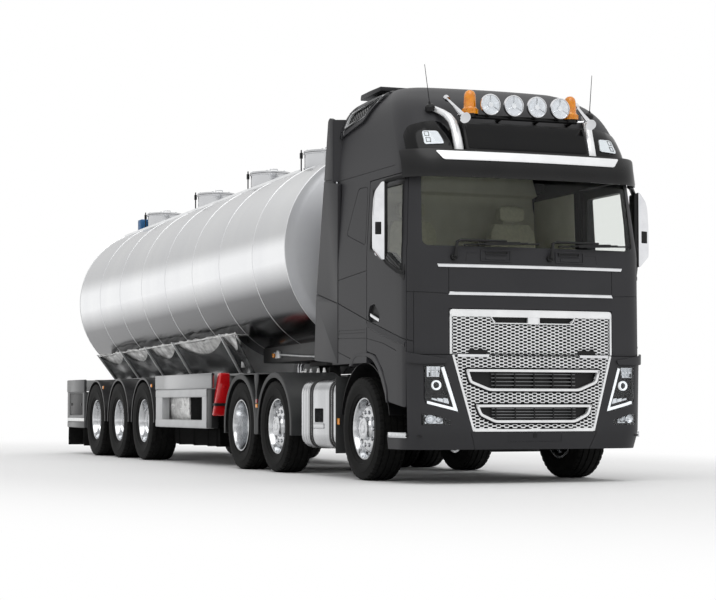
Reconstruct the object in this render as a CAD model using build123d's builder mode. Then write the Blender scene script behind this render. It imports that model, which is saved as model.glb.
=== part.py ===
import os
from math import atan2, cos, radians, sin

from build123d import *

os.makedirs("parts", exist_ok=True)

# Articulated tanker lorry. Millimetres; +X forward, +Y to the vehicle's left, +Z up.
# The origin is on the ground, midway along the whole vehicle and on its centre line.

# Stations along X
nose_x = 6965
tail_x = -6965
front_axle_x = 5600
pusher_axle_x = 3000
drive_axle_x = 1790
kingpin_x = 2350
trailer_axle_xs = (-2470, -3780, -5090)

# Wheels and steering
tractor_tyre_r = 507
trailer_tyre_r = 530
steer_pivot_y = 880
spindle_r = 40
stub_r = 60

# Cab
cab_rear_x = 4720
cab_floor_z = 1150
cab_top_z = 3000
cab_wall = 100
door_in_y = 1140
skin_y = 1245
panel_step_x = 5000
door_gap = 8

# Frames and coupling
rail_top_z = 1000
rail_low_z = 720
rail_out_y = 425
rail_thick = 75
plate_top_z = 1250
slide_gap = 2
beam_top_z = 1130
beam_low_z = 930
beam_in_y = 420
beam_out_y = 520

# Tank
tank_r = 1148
tank_front_x = 3100
tank_length = 9550
tank_dish = 360
tank_knuckle_r = 150
tank_slope = radians(1.0)
tank_axis_z = 2476
manhole_xs = (1320, -730, -3090, -5740)
neck_r = 260
neck_height = 190
lid_thick = 34


def save(part, label):
    """Label a finished piece and write its STEP file."""
    part.label = label
    export_step(part, f"parts/{label}.step")


def block(x0, x1, y0, y1, z0, z1, mode=Mode.ADD):
    """A box between two corners, for use inside a part block."""
    with Locations(((x0 + x1) / 2, (y0 + y1) / 2, (z0 + z1) / 2)):
        Box(abs(x1 - x0), abs(y1 - y0), abs(z1 - z0), mode=mode)


def both_sides(part):
    """The piece and its twin on the other side of the vehicle."""
    with BuildPart() as pair:
        add(part)
        mirror(about=Plane.XZ)
    return pair.part


def side_prism(points, y0, y1, corner=0):
    """A side view outline of (x, z) points, carried from y0 to y1."""
    with BuildPart() as prism:
        with BuildSketch(Plane.XZ.offset(-y0)) as sketch:
            with BuildLine():
                Polyline(*points, close=True)
            make_face()
            if corner:
                fillet(sketch.vertices(), corner)
        extrude(amount=-(y1 - y0))
    return prism.part


def front_prism(points, x0, x1, corner=0):
    """A front view outline of (y, z) points, carried from x0 to x1."""
    with BuildPart() as prism:
        with BuildSketch(Plane.YZ.offset(x0)) as sketch:
            with BuildLine():
                Polyline(*points, close=True)
            make_face()
            if corner:
                fillet(sketch.vertices(), corner)
        extrude(amount=x1 - x0)
    return prism.part


# ---- Wheels: each turns as one body, a rim with its hub and one or two tyres ----


def make_tyre(axle_x, axle_z, centres, width, bead_r, side):
    """The tyres of one wheel: rings with bevelled shoulders and beads."""
    half = width / 2
    # Half section as (distance from the tyre's middle, radius)
    section = ((half - 45, bead_r), (half, bead_r + 70), (half, axle_z - 45), (half - 35, axle_z))
    with BuildPart() as ring:
        with BuildSketch(Plane((axle_x, 0, axle_z), x_dir=(0, 1, 0), z_dir=(1, 0, 0))):
            for centre in centres:
                with BuildLine():
                    Polyline(
                        *[(side * centre + y, r) for y, r in section],
                        *[(side * centre - y, r) for y, r in reversed(section)],
                        close=True,
                    )
                make_face()
        revolve(axis=Axis((axle_x, 0, axle_z), (0, 1, 0)))
    return ring.part


def make_rim(axle_x, axle_z, outline, side):
    """A rim, disc and closed hub, turned from (distance off centre line, radius) points."""
    with BuildPart() as wheel:
        with BuildSketch(Plane((axle_x, 0, axle_z), x_dir=(0, 1, 0), z_dir=(1, 0, 0))):
            with BuildLine():
                Polyline(*[(side * y, r) for y, r in outline], close=True)
            make_face()
        revolve(axis=Axis((axle_x, 0, axle_z), (0, 1, 0)))
    return wheel.part


# Half profiles as (y, radius): bore, inner face of the disc, barrel, outer face, hub nose.
convex_rim = (
    (1000, 41), (1000, 150), (1105, 170), (1130, 260), (940, 270), (940, 309), (1190, 309),
    (1190, 285), (1165, 255), (1160, 150), (1215, 120), (1215, 0), (1170, 0), (1170, 41),
)
twin_rim = (
    (700, 61), (700, 150), (890, 150), (890, 262), (590, 270), (590, 297), (1222, 297),
    (1222, 285), (1200, 272), (935, 262), (935, 150), (1120, 135), (1120, 0), (1080, 0), (1080, 61),
)
dish_rim = (
    (930, 61), (930, 150), (1030, 170), (1030, 262), (880, 270), (880, 297), (1200, 297),
    (1200, 285), (1185, 272), (1065, 262), (1065, 160), (1150, 135), (1150, 0), (1120, 0), (1120, 61),
)

# Name, axle x, tyre radius, tyre centres off the centre line, tyre width, bead radius, rim profile
wheel_table = (
    ("front", front_axle_x, tractor_tyre_r, (1082,), 315, 310, convex_rim),
    ("pusher", pusher_axle_x, tractor_tyre_r, (1082,), 315, 310, convex_rim),
    ("drive", drive_axle_x, tractor_tyre_r, (1075, 730), 315, 298, twin_rim),
    ("trailer1", trailer_axle_xs[0], trailer_tyre_r, (1052,), 385, 298, dish_rim),
    ("trailer2", trailer_axle_xs[1], trailer_tyre_r, (1052,), 385, 298, dish_rim),
    ("trailer3", trailer_axle_xs[2], trailer_tyre_r, (1052,), 385, 298, dish_rim),
)

for name, axle_x, axle_z, centres, width, bead_r, outline in wheel_table:
    for side_name, side in (("left", 1), ("right", -1)):
        save(make_tyre(axle_x, axle_z, centres, width, bead_r, side), f"tyre_{name}_{side_name}")
        save(make_rim(axle_x, axle_z, outline, side), f"rim_{name}_{side_name}")


# ---- Tractor chassis ----

frame_front_x = 6560
frame_rear_x = 1020
cross_xs = (6500, 5200, 4300, 2350, 1120)
tow_x = 6770
tow_bore_r = 22
tow_low_z = 395
tow_high_z = 505

with BuildPart() as tractor_frame:
    for side in (1, -1):
        y0 = side * (rail_out_y - rail_thick)
        y1 = side * rail_out_y
        block(frame_rear_x, frame_front_x, y0, y1, rail_low_z, rail_top_z)
        block(frame_rear_x, frame_front_x, y0, side * (rail_out_y - 10), rail_low_z + 12, rail_top_z - 12, Mode.SUBTRACT)
    for x in cross_xs:
        block(x - 40, x + 40, -(rail_out_y - 10), rail_out_y - 10, rail_low_z + 40, rail_top_z - 60)
    # Deck over the frame behind the cab, and the stand that carries the air lines
    block(3560, 4600, -560, 560, rail_top_z, rail_top_z + 20)
    block(4540, 4600, -420, 420, rail_top_z + 20, 1560)
    # Rear cross member that carries the lamps
    block(frame_rear_x - 60, frame_rear_x, -1080, 1080, 760, 860)
    # Towing pin block behind the bumper
    block(6540, 6830, -60, 60, tow_low_z, tow_high_z)
    block(6500, 6560, -60, 60, tow_low_z, rail_low_z + 60)
    with Locations((tow_x, 0, (tow_low_z + tow_high_z) / 2)):
        Cylinder(tow_bore_r, 200, mode=Mode.SUBTRACT)
save(tractor_frame.part, "tractor_frame")

with BuildPart() as engine_block:
    block(5250, 6440, -300, 300, 620, 1130)
    block(5250, 6440, -(rail_out_y + 5), -300, 600, 1130, Mode.SUBTRACT)
    for x in cross_xs:
        block(x - 45, x + 45, -420, 420, rail_low_z + 35, rail_top_z - 55, Mode.SUBTRACT)
save(engine_block.part, "engine_block")

# Axles. A leaf spring on each side stands on the axle and meets the rail's lower face.
# Columns: axle x, axle z, half width of the beam, beam height, drop of the beam below the wheel centre
with BuildPart() as tractor_axles:
    # Front: dropped beam with an eye for each steering pivot
    block(front_axle_x - 45, front_axle_x + 45, -770, 770, 380, 480)
    for side in (1, -1):
        with Locations((front_axle_x, side * steer_pivot_y, 500)):
            Cylinder(60, 200)
        block(front_axle_x - 45, front_axle_x + 45, side * 700, side * 860, 400, 560)
    # Pusher: a straight tube with stub ends
    with Locations(Plane((pusher_axle_x, 0, tractor_tyre_r), z_dir=(0, 1, 0))):
        Cylinder(65, 1960)
        Cylinder(spindle_r, 2320)
    # Drive: tubes and the differential housing
    with Locations(Plane((drive_axle_x, 0, tractor_tyre_r), z_dir=(0, 1, 0))):
        Cylinder(80, 1360)
        Cylinder(stub_r, 2140)
        Cylinder(210, 240)
    # Leaf springs: axle x, length each way, underside of the spring
    for x, reach, low_z in ((front_axle_x, 620, 480), (pusher_axle_x, 420, 560), (drive_axle_x, 420, 570)):
        for side in (1, -1):
            block(x - 90, x + 90, side * 340, side * 425, 440, low_z + 70)
            block(x - reach, x + reach, side * 345, side * 415, low_z + 20, low_z + 70)
            for end in (-1, 1):
                block(x + end * reach, x + end * (reach - 80), side * 345, side * 415, low_z + 20, rail_low_z)
save(tractor_axles.part, "tractor_axles")

for side_name, side in (("left", 1), ("right", -1)):
    with BuildPart() as knuckle:
        block(front_axle_x - 50, front_axle_x + 50, side * 815, side * 985, 605, 660)
        block(front_axle_x - 50, front_axle_x + 50, side * 815, side * 985, 335, 395)
        block(front_axle_x - 50, front_axle_x + 50, side * 950, side * 985, 335, 660)
        with Locations(Plane((front_axle_x, side * 985, tractor_tyre_r), z_dir=(0, side, 0))):
            Cylinder(spindle_r, 175, align=(Align.CENTER, Align.CENTER, Align.MIN))
    save(knuckle.part, f"knuckle_{side_name}")

# Fifth wheel: top plate with a slot that opens rearwards, on two feet
with BuildPart() as fifth_wheel:
    block(kingpin_x - 430, kingpin_x + 330, -450, 450, plate_top_z - 60, plate_top_z)
    with Locations((kingpin_x, 0, plate_top_z - 30)):
        Cylinder(27, 60, mode=Mode.SUBTRACT)
    block(kingpin_x - 430, kingpin_x, -27, 27, plate_top_z - 60, plate_top_z, Mode.SUBTRACT)
    with BuildSketch(Plane.XY.offset(plate_top_z - 60)):
        with BuildLine():
            Polyline((kingpin_x - 430, -150), (kingpin_x - 430, 150), (kingpin_x - 90, 27), (kingpin_x - 90, -27), close=True)
        make_face()
    extrude(amount=60, mode=Mode.SUBTRACT)
    for side in (1, -1):
        block(kingpin_x - 200, kingpin_x + 200, side * 250, side * 420, rail_top_z, plate_top_z - 60)
save(fifth_wheel.part, "fifth_wheel")

# Fuel tank on the right and air tank on the left, both D shaped
side_tank_rear_x = 3860
side_tank_front_x = 4880
with BuildPart() as right_tank:
    with BuildSketch(Plane.YZ.offset(side_tank_rear_x)) as section:
        with Locations((-930, 646)):
            Rectangle(610, 714)
        fillet(section.vertices(), 150)
    extrude(amount=side_tank_front_x - side_tank_rear_x)
    for x in (side_tank_rear_x + 150, side_tank_front_x - 190):
        block(x, x + 60, -640, -rail_out_y, 760, 860)
side_tanks = both_sides(right_tank.part)
save(side_tanks, "side_tanks")


def guard_arc(axle_x, axle_z, radius, thick, start, end, y0, y1):
    """A mudguard band: an arc round the axle, from one angle to another, carried from y0 to y1."""
    def at(r, angle):
        return (axle_x + r * cos(radians(angle)), axle_z + r * sin(radians(angle)))

    middle = (start + end) / 2
    with BuildPart() as band:
        with BuildSketch(Plane.XZ.offset(-y0)):
            with BuildLine():
                ThreePointArc(at(radius, start), at(radius, middle), at(radius, end))
                Line(at(radius, end), at(radius + thick, end))
                ThreePointArc(at(radius + thick, end), at(radius + thick, middle), at(radius + thick, start))
                Line(at(radius + thick, start), at(radius, start))
            make_face()
        extrude(amount=-(y1 - y0))
    return band.part


guard_r = 580
guard_thick = 14
lip_r = 540
with BuildPart() as left_guards:
    for x in (pusher_axle_x, drive_axle_x):
        add(guard_arc(x, tractor_tyre_r, guard_r, guard_thick, -5, 185, 560, 1240))
        add(guard_arc(x, tractor_tyre_r, lip_r, guard_r + guard_thick - lip_r, -5, 185, 1238, 1246))
        block(x - 30, x + 30, rail_out_y, 560, 1060, 1096)
        block(x - 30, x + 30, rail_out_y, 470, 800, 1096)
    block(drive_axle_x, pusher_axle_x, 560, 1240, 1086, 1101)
    # Flap between the fuel tank and the front wheel
    block(4905, 4917, 480, 1235, 250, 1030)
    block(4880, 4917, rail_out_y, 490, 760, 860)
save(both_sides(left_guards.part), "tractor_mudguards")


# ---- Cab: a hollow shell, the high roof, doors, glass and front panels ----

# Height, half width, x of the front in the middle, x of the front corners, corner radius
cab_sections = (
    (cab_floor_z, 1240, 6930, 6850, 225),
    (2200, 1240, 6930, 6850, 235),
    (cab_top_z, 1195, 6850, 6760, 320),
)


def bowed_plan(half, middle_x, corner_x, corner_r, rear_x):
    """Plan outline of a body with a bowed front and rounded front corners, drawn on the current sketch plane."""
    with BuildSketch(mode=Mode.PRIVATE) as plan:
        with BuildLine():
            Polyline((corner_x, half), (rear_x, half), (rear_x, -half), (corner_x, -half))
            ThreePointArc((corner_x, -half), (middle_x, 0), (corner_x, half))
        make_face()
        fillet(plan.vertices().group_by(Axis.X)[-1], corner_r)
    add(plan.sketch)


def cab_envelope(inset, rear_x, low_z=cab_floor_z):
    """The cab's outside, or a smaller copy of it, as a closed solid."""
    with BuildPart() as envelope:
        for z, half, middle_x, corner_x, corner_r in cab_sections:
            with BuildSketch(Plane.XY.offset(low_z if z == cab_floor_z else z)):
                bowed_plan(half - inset, middle_x - inset, corner_x - inset, corner_r - inset, rear_x)
        loft(ruled=True)
    return envelope.part


door_front_x = 6730
door_rear_x = 5785
hinge_x = 6752
hinge_y = 1252
# Door outline as (x, z), from the top rear corner round by the wheel arch to the front
door_outline = (
    (door_rear_x, 2925), (door_rear_x, 1262), (6010, 1225), (6190, 1080), (6310, 900), (door_front_x, 900),
    (door_front_x, 2250), (6640, 2925),
)
window_outline = (
    (5870, 2830), (5870, 2250), (6300, 2190), (6660, 2010), (6660, 2270), (6590, 2830),
)
windscreen_outline = ((-1110, 2225), (-1075, 2925), (1075, 2925), (1110, 2225))
grille_split_z = 1206

with BuildPart() as cab_shell:
    add(cab_envelope(0, cab_rear_x))
    add(cab_envelope(cab_wall, cab_rear_x + 60, cab_floor_z + 250), mode=Mode.SUBTRACT)
    block(cab_rear_x + 60, 6500, -1100, 1100, 2900, cab_top_z, Mode.SUBTRACT)
    # The side walls step in behind, where the side deflectors cover them
    for side in (1, -1):
        block(cab_rear_x, panel_step_x, side * 1198, side * 1250, cab_floor_z, cab_top_z, Mode.SUBTRACT)
        add(
            side_prism(
                (
                    (door_rear_x - 12, 2925 + door_gap), (door_rear_x - 12, cab_floor_z - 10),
                    (door_front_x + door_gap, cab_floor_z - 10), (door_front_x + door_gap, 2250),
                    (6640 + door_gap, 2925 + door_gap),
                ),
                side * (door_in_y - 15), side * 1260,
            ),
            mode=Mode.SUBTRACT,
        )
    add(front_prism(windscreen_outline, 6400, 7000, 60), mode=Mode.SUBTRACT)
    # Underside: open below the floor
    block(cab_rear_x + 60, 6780, -1100, 1100, cab_floor_z, cab_floor_z + 170, Mode.SUBTRACT)
    # Recess for the upper grille, and the front cut off above the bumper
    block(6878, 7000, -860, 860, 1180, 1640, Mode.SUBTRACT)
    block(6742, 7000, -1300, 1300, cab_floor_z - 10, grille_split_z + 4, Mode.SUBTRACT)
save(cab_shell.part, "cab_shell")

with BuildPart() as windscreen:
    add(cab_envelope(6, cab_rear_x))
    add(cab_envelope(16, cab_rear_x), mode=Mode.SUBTRACT)
    add(front_prism(windscreen_outline, 6400, 7000, 60), mode=Mode.INTERSECT)
save(windscreen.part, "windscreen")

for side_name, side in (("left", 1), ("right", -1)):
    door_y0 = side * door_in_y
    with BuildPart() as door:
        add(side_prism(door_outline, side * door_in_y, side * 1250))
        add(cab_envelope(0, cab_rear_x, 850), mode=Mode.INTERSECT)
        add(side_prism(window_outline, side * 1100, side * 1260, 30), mode=Mode.SUBTRACT)
    save(door.part, f"door_{side_name}")
    with BuildPart() as door_glass:
        add(side_prism(window_outline, side * 1100, side * 1260, 30))
        add(cab_envelope(20, cab_rear_x, 850), mode=Mode.INTERSECT)
        add(cab_envelope(28, cab_rear_x, 850), mode=Mode.SUBTRACT)
    save(door_glass.part, f"door_glass_{side_name}")

# High roof: plan sections, each rounder and further back than the one below; a smaller copy hollows it
roof_rear_x = 4860
# Height, half width, x of the front in the middle, x of the front corners, corner radius
roof_sections = (
    (cab_top_z, 1195, 6850, 6760, 320),
    (3200, 1187, 6760, 6675, 300),
    (3420, 1160, 6600, 6515, 290),
    (3620, 1105, 6420, 6330, 280),
    (3760, 1015, 6200, 6110, 270),
    (3880, 840, 5900, 5820, 250),
    (3950, 560, 5350, 5290, 200),
)


def roof_form(inset):
    """The roof's outside, or a smaller copy of it, as a closed solid."""
    with BuildPart() as form:
        for z, half, middle_x, corner_x, corner_r in roof_sections:
            with BuildSketch(Plane.XY.offset(z - inset)):
                bowed_plan(half - inset, middle_x - inset, corner_x - inset, corner_r - inset, roof_rear_x + inset)
        loft(ruled=True)
    return form.part


# Air intake hood on each rear top corner: outline of the frame and of its dark screen, as (x, z)
hood_outline = ((4870, 3450), (4900, 3800), (5560, 3900), (5720, 3800), (5480, 3560))
screen_outline = ((4940, 3510), (4960, 3760), (5530, 3845), (5640, 3790), (5440, 3600))
spoiler_outline = ((4640, 3900), (4660, 3965), (5200, 3975), (5200, 3930))
with BuildPart() as hoods:
    for side in (1, -1):
        add(side_prism(hood_outline, side * 700, side * 1400, 30))
        add(side_prism(screen_outline, side * 700, side * 1400, 20), mode=Mode.SUBTRACT)
    add(roof_form(-28), mode=Mode.INTERSECT)

with BuildPart() as cab_roof:
    add(roof_form(0))
    add(hoods.part)
    add(roof_form(50), mode=Mode.SUBTRACT)
    block(roof_rear_x + 50, 6600, -1050, 1050, cab_top_z - 20, cab_top_z + 20, Mode.SUBTRACT)
    # Spoiler fin over the trailer gap
    add(side_prism(spoiler_outline, -860, 860))
save(cab_roof.part, "cab_roof")

# Side deflectors: outer panel on each side behind the cab
deflector_outline = (
    (4995, 1160), (4995, 2990), (4850, 3000), (4850, 3560), (4700, 3560), (4600, 3060), (4360, 1830), (4310, 1200),
)
with BuildPart() as left_deflector:
    add(side_prism(deflector_outline, 1205, 1245))
    for z in (1500, 2300, 2800):
        block(cab_rear_x - 200, cab_rear_x, 1150, 1205, z, z + 40)
        block(cab_rear_x - 20, cab_rear_x, 1100, 1205, z, z + 40)
save(both_sides(left_deflector.part), "side_deflectors")

# Sun visor, the black panel round the roof's front corners, and the light box
visor_outline = ((6840, 3010), (6850, 2960), (6930, 2870), (6948, 2880), (6925, 3030), (6890, 3140), (6700, 3140))
light_box_outline = ((6700, 3140), (6850, 3140), (6740, 3420), (6500, 3420))
panel_half = ((1160, 3002), (1160, 3330), (1080, 3420), (860, 3480))
panel_outline = panel_half + tuple((-y, z) for y, z in reversed(panel_half))
with BuildPart() as roof_visor:
    add(side_prism(visor_outline, -1150, 1150))
    with BuildSketch(Plane.XY.offset(2850)):
        bowed_plan(1200, 6965, 6870, 330, 6400)
    extrude(amount=300, mode=Mode.INTERSECT)
    add(side_prism(light_box_outline, -650, 650))
    with BuildPart(mode=Mode.PRIVATE) as panel:
        add(roof_form(-12))
        add(front_prism(panel_outline, 6250, 7000), mode=Mode.INTERSECT)
    add(panel.part)
    # A millimetre clear of the cab and the roof
    add(cab_envelope(-1, cab_rear_x), mode=Mode.SUBTRACT)
    with Locations((0, 0, 0), (0, 0, -2)):
        add(roof_form(-1), mode=Mode.SUBTRACT)
save(roof_visor.part, "roof_visor")

# Roof lamps on a bar: four spot lamps, a beacon near each end, and an air horn beyond each
lamp_z = 3592
lamp_x = 6790
bar_x = 6670
bar_z = 3470
with BuildPart() as roof_lamps:
    block(bar_x - 25, bar_x + 25, -640, 640, bar_z, bar_z + 40)
    for y in (-600, 0, 600):
        block(6300, bar_x + 25, y - 25, y + 25, bar_z, bar_z + 40)
    for y in (-369, -123, 123, 369):
        with Locations(Plane((lamp_x - 110, y, lamp_z), z_dir=(1, 0, 0))):
            Cone(55, 103, 70, align=(Align.CENTER, Align.CENTER, Align.MIN))
        with Locations(Plane((lamp_x - 40, y, lamp_z), z_dir=(1, 0, 0))):
            Cylinder(103, 40, align=(Align.CENTER, Align.CENTER, Align.MIN))
        block(bar_x - 15, bar_x + 25, y - 20, y + 20, bar_z + 40, lamp_z)
    for y in (-535, 535):
        with Locations((bar_x, y, bar_z + 30)):
            Cylinder(78, 50, align=(Align.CENTER, Align.CENTER, Align.MIN))
            Cylinder(60, 240, align=(Align.CENTER, Align.CENTER, Align.MIN))
    for y in (-665, 665):
        with Locations(Plane((6850, y, 3440), z_dir=(-0.83, 0, 0.55))):
            Cone(54, 22, 120, align=(Align.CENTER, Align.CENTER, Align.MIN))
            Cylinder(18, 460, align=(Align.CENTER, Align.CENTER, Align.MIN))
        block(bar_x - 20, bar_x + 20, y - 30, y + 30, bar_z, 3560)
    add(roof_form(0), mode=Mode.SUBTRACT)
    add(roof_visor.part, mode=Mode.SUBTRACT)
save(roof_lamps.part, "roof_lamps")

# Bumper: a wall round the front corners, open behind, with low sills and steps in front of the wheels
# Columns: height, half width, x of the middle, x of the corners, corner radius
bumper_sections = (
    (322, 1228, 6920, 6835, 320), (480, 1244, nose_x, 6885, 300), (grille_split_z - 2, 1247, 6945, 6878, 245),
)
bumper_rear_x = 6300
bumper_wall = 70


def bumper_form(inset):
    """The bumper's outside, or a smaller copy of it, as a closed solid."""
    with BuildPart() as form:
        for z, half, middle_x, corner_x, corner_r in bumper_sections:
            with BuildSketch(Plane.XY.offset(z)):
                bowed_plan(half - inset, middle_x - inset, corner_x - inset, corner_r - inset, bumper_rear_x)
        loft(ruled=True)
    return form.part


def lamp_pair(outline, x0):
    """An outline of (y, z) points on the left of the front, carried forward from x0, with its twin."""
    return both_sides(front_prism(outline, x0, 7100))


lower_grille_outline = ((-640, 490), (-838, 1300), (838, 1300), (640, 490))
headlamp_outline = ((1300, 1115), (958, 1115), (790, 682), (1062, 782), (1300, 890))
fog_outline = ((1125, 552), (1125, 652), (1030, 650), (850, 590), (850, 552))
bumper_outer = bumper_form(0)
bumper_inner = bumper_form(bumper_wall)

with BuildPart() as front_bumper:
    add(bumper_outer)
    add(bumper_inner, mode=Mode.SUBTRACT)
    add(front_prism(lower_grille_outline, 6600, 7100, 30), mode=Mode.SUBTRACT)
    add(lamp_pair(headlamp_outline, 6700), mode=Mode.SUBTRACT)
    add(lamp_pair(fog_outline, 6700), mode=Mode.SUBTRACT)
    # The sides stand full height only ahead of the door
    block(bumper_rear_x, 6742, -1300, 1300, 455, 1300, Mode.SUBTRACT)
    with BuildPart(mode=Mode.PRIVATE) as steps:
        for side in (1, -1):
            for z in (440, 800):
                block(6320, 6742, side * 960, side * 1230, z, z + 15)
            block(6320, 6742, side * 945, side * 960, 440, 1145)
            block(6700, 6850, side * 945, side * 1176, 440, 455)
            block(6480, 6800, side * 425, side * 945, 640, 700)
        add(bumper_form(1), mode=Mode.INTERSECT)
    add(steps.part)
save(front_bumper.part, "front_bumper")

with BuildPart() as headlamps:
    add(bumper_form(3))
    add(bumper_form(bumper_wall - 4), mode=Mode.SUBTRACT)
    with BuildPart(mode=Mode.PRIVATE) as lamp_shapes:
        add(lamp_pair(headlamp_outline, 6745))
        add(lamp_pair(fog_outline, 6745))
    add(lamp_shapes.part, mode=Mode.INTERSECT)
save(headlamps.part, "headlamps")

# Grilles: an upper panel in the cab front and a lower one in the bumper
with BuildPart() as lower_grille:
    add(bumper_form(8))
    add(bumper_form(bumper_wall - 10), mode=Mode.SUBTRACT)
    add(front_prism(lower_grille_outline, 6600, 7100, 30), mode=Mode.INTERSECT)
with BuildPart() as grilles:
    add(cab_envelope(-6, cab_rear_x))
    add(cab_envelope(34, cab_rear_x), mode=Mode.SUBTRACT)
    add(front_prism(((-851, 1212), (-851, 1632), (851, 1632), (851, 1212)), 6881, 7100, 5), mode=Mode.INTERSECT)
    add(lower_grille.part)
save(grilles.part, "grilles")

# Inside: two seats, the dashboard and the steering wheel
with BuildPart() as cab_interior:
    for side in (1, -1):
        block(5350, 5900, side * 300, side * 820, 1400, 1560)
        block(5330, 5900, side * 280, side * 840, 1780, 1960)
        block(5480, 5760, side * 420, side * 700, 1560, 1780)
        block(5230, 5370, side * 300, side * 820, 1860, 2620)
        block(5220, 5330, side * 420, side * 700, 2620, 2800)
    block(6330, 6690, -1090, 1090, 1760, 2110)
    block(6330, 6500, -450, 450, 1400, 1760)
    with Locations(Plane((6260, -560, 2080), z_dir=(-0.6, 0, 0.8))):
        Torus(215, 18)
        Box(400, 40, 20)
        Box(40, 400, 20)
        Cylinder(60, 40)
        Cylinder(30, 260, align=(Align.CENTER, Align.CENTER, Align.MAX))
save(cab_interior.part, "cab_interior")

# Door mirrors: a tall housing, wider at mid height, on two arms that reach forward to the door
mirror_rear_x = 6410
mirror_front_x = 6530
housing_outline = ((1285, 2130), (1285, 2850), (1385, 2850), (1475, 2620), (1475, 2260), (1385, 2090))
arm_plan = ((6640, 1170), (6640, 1240), (6520, 1330), (6520, 1400), (6440, 1400), (6440, 1300), (6560, 1170))
for side_name, side in (("left", 1), ("right", -1)):
    with BuildPart() as mirror_arm:
        add(front_prism([(side * y, z) for y, z in housing_outline], mirror_rear_x, mirror_front_x, 25))
        for z in (2040, 2845):
            with BuildSketch(Plane.XY.offset(z)):
                with BuildLine():
                    Polyline(*[(x, side * y) for x, y in arm_plan], close=True)
                make_face()
            extrude(amount=40)
        block(6450, 6510, side * 1330, side * 1395, 2060, 2200)
        add(cab_envelope(0, cab_rear_x, 850), mode=Mode.SUBTRACT)
    save(mirror_arm.part, f"mirror_{side_name}")


# ---- Trailer: tank, cradle, frame, running gear ----

tank_direction = (-cos(tank_slope), 0, -sin(tank_slope))
tank_plane = Plane(
    (tank_front_x, 0, tank_axis_z), x_dir=tank_direction, z_dir=(sin(tank_slope), 0, -cos(tank_slope))
)
tank_axis = Axis((tank_front_x, 0, tank_axis_z), tank_direction)


def tank_form(extra):
    """The barrel with a dished end each way, turned about its sloping axis; extra makes it larger all over."""
    radius = tank_r + extra
    depth = tank_dish + extra
    knuckle = tank_knuckle_r + extra
    crown = (depth**2 + (radius - knuckle) ** 2 - knuckle**2) / (2 * (depth - knuckle))
    # Angle, seen from the crown's centre, at which the crown meets the knuckle
    meet = atan2(radius - knuckle, crown - depth)
    half_meet = meet / 2
    bend = (meet + radians(90)) / 2

    def dish(angle, centre, turn_r):
        return (centre[0] - turn_r * cos(angle), centre[1] + turn_r * sin(angle))

    crown_centre = (crown - depth, 0)
    knuckle_centre = (0, radius - knuckle)
    front = [
        (-depth, 0),
        dish(half_meet, crown_centre, crown),
        dish(meet, crown_centre, crown),
        dish(bend, knuckle_centre, knuckle),
        (0, radius),
    ]
    rear = [(tank_length - x, r) for x, r in front]
    with BuildPart() as form:
        with BuildSketch(tank_plane):
            with BuildLine():
                ThreePointArc(*front[0:3])
                ThreePointArc(*front[2:5])
                Line(front[4], rear[4])
                ThreePointArc(*rear[2:5])
                ThreePointArc(*rear[0:3])
                Line(rear[0], front[0])
            make_face()
        revolve(axis=tank_axis)
    return form.part


def tank_top(x):
    """Height of the top of the barrel, and of its axis, at a station."""
    axis_z = tank_axis_z - (tank_front_x - x) * sin(tank_slope) / cos(tank_slope)
    return axis_z + tank_r / cos(tank_slope)


with BuildPart() as tank:
    add(tank_form(0))
    for x in manhole_xs:
        top_z = tank_top(x)
        with Locations((x, 0, top_z + neck_height)):
            Cylinder(neck_r, 400, align=(Align.CENTER, Align.CENTER, Align.MAX))
            Cylinder(neck_r - 20, neck_height, align=(Align.CENTER, Align.CENTER, Align.MAX), mode=Mode.SUBTRACT)
        # Hinge bracket on the rear of the neck
        block(x - neck_r - 30, x - neck_r + 10, -50, 50, top_z + 60, top_z + neck_height - 60)
save(tank.part, "tank")

for number, x in enumerate(manhole_xs, 1):
    rim_z = tank_top(x) + neck_height
    with BuildPart() as lid:
        with Locations((x, 0, rim_z + slide_gap)):
            Cylinder(neck_r + 8, lid_thick, align=(Align.CENTER, Align.CENTER, Align.MIN))
            Cylinder(neck_r - 60, lid_thick + 22, align=(Align.CENTER, Align.CENTER, Align.MIN))
        block(x - neck_r - 60, x - neck_r + 20, -30, 30, rim_z + slide_gap, rim_z + lid_thick)
        block(x + neck_r - 40, x + neck_r + 45, -20, 20, rim_z + slide_gap, rim_z + lid_thick)
    save(lid.part, f"manhole_lid_{number}")

clear_tank = tank_form(1)

# Cradle: ribs across and a sloping side skirt along each side
rib_xs = (-6000, -4650, -3300, -1950, 150)
cradle_front_x = 650
cradle_rear_x = -6060
rib_outline = ((-1000, 1600), (-690, beam_top_z), (690, beam_top_z), (1000, 1600))
skirt_outline = ((690, beam_top_z), (1000, 1600), (985, 1610), (660, beam_top_z))
with BuildPart() as saddles:
    for x in rib_xs:
        add(front_prism(rib_outline, x - 30, x + 30))
    for side in (1, -1):
        add(front_prism([(side * y, z) for y, z in skirt_outline], cradle_rear_x, cradle_front_x))
    # Neck over the coupling: side webs and the rubbing plate
    block(cradle_front_x, 3150, -560, 560, plate_top_z + slide_gap, 1520)
    block(cradle_front_x + 1, 3160, -400, 400, plate_top_z + slide_gap + 14, 1520, Mode.SUBTRACT)
    block(1900, 2800, -400, 400, plate_top_z + slide_gap + 14, 1420)
    block(200, cradle_front_x, -560, 560, plate_top_z + slide_gap, 1520)
    add(clear_tank, mode=Mode.SUBTRACT)
    with Locations((kingpin_x, 0, plate_top_z + slide_gap + 14)):
        Cylinder(25.4, 84, align=(Align.CENTER, Align.CENTER, Align.MAX))
save(saddles.part, "saddles")

trailer_rail_front_x = 700
trailer_rear_x = -6860
rail_bottom_z = 940
inner_rail_y = 800
leg_x = 300
leg_y = 760
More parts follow.
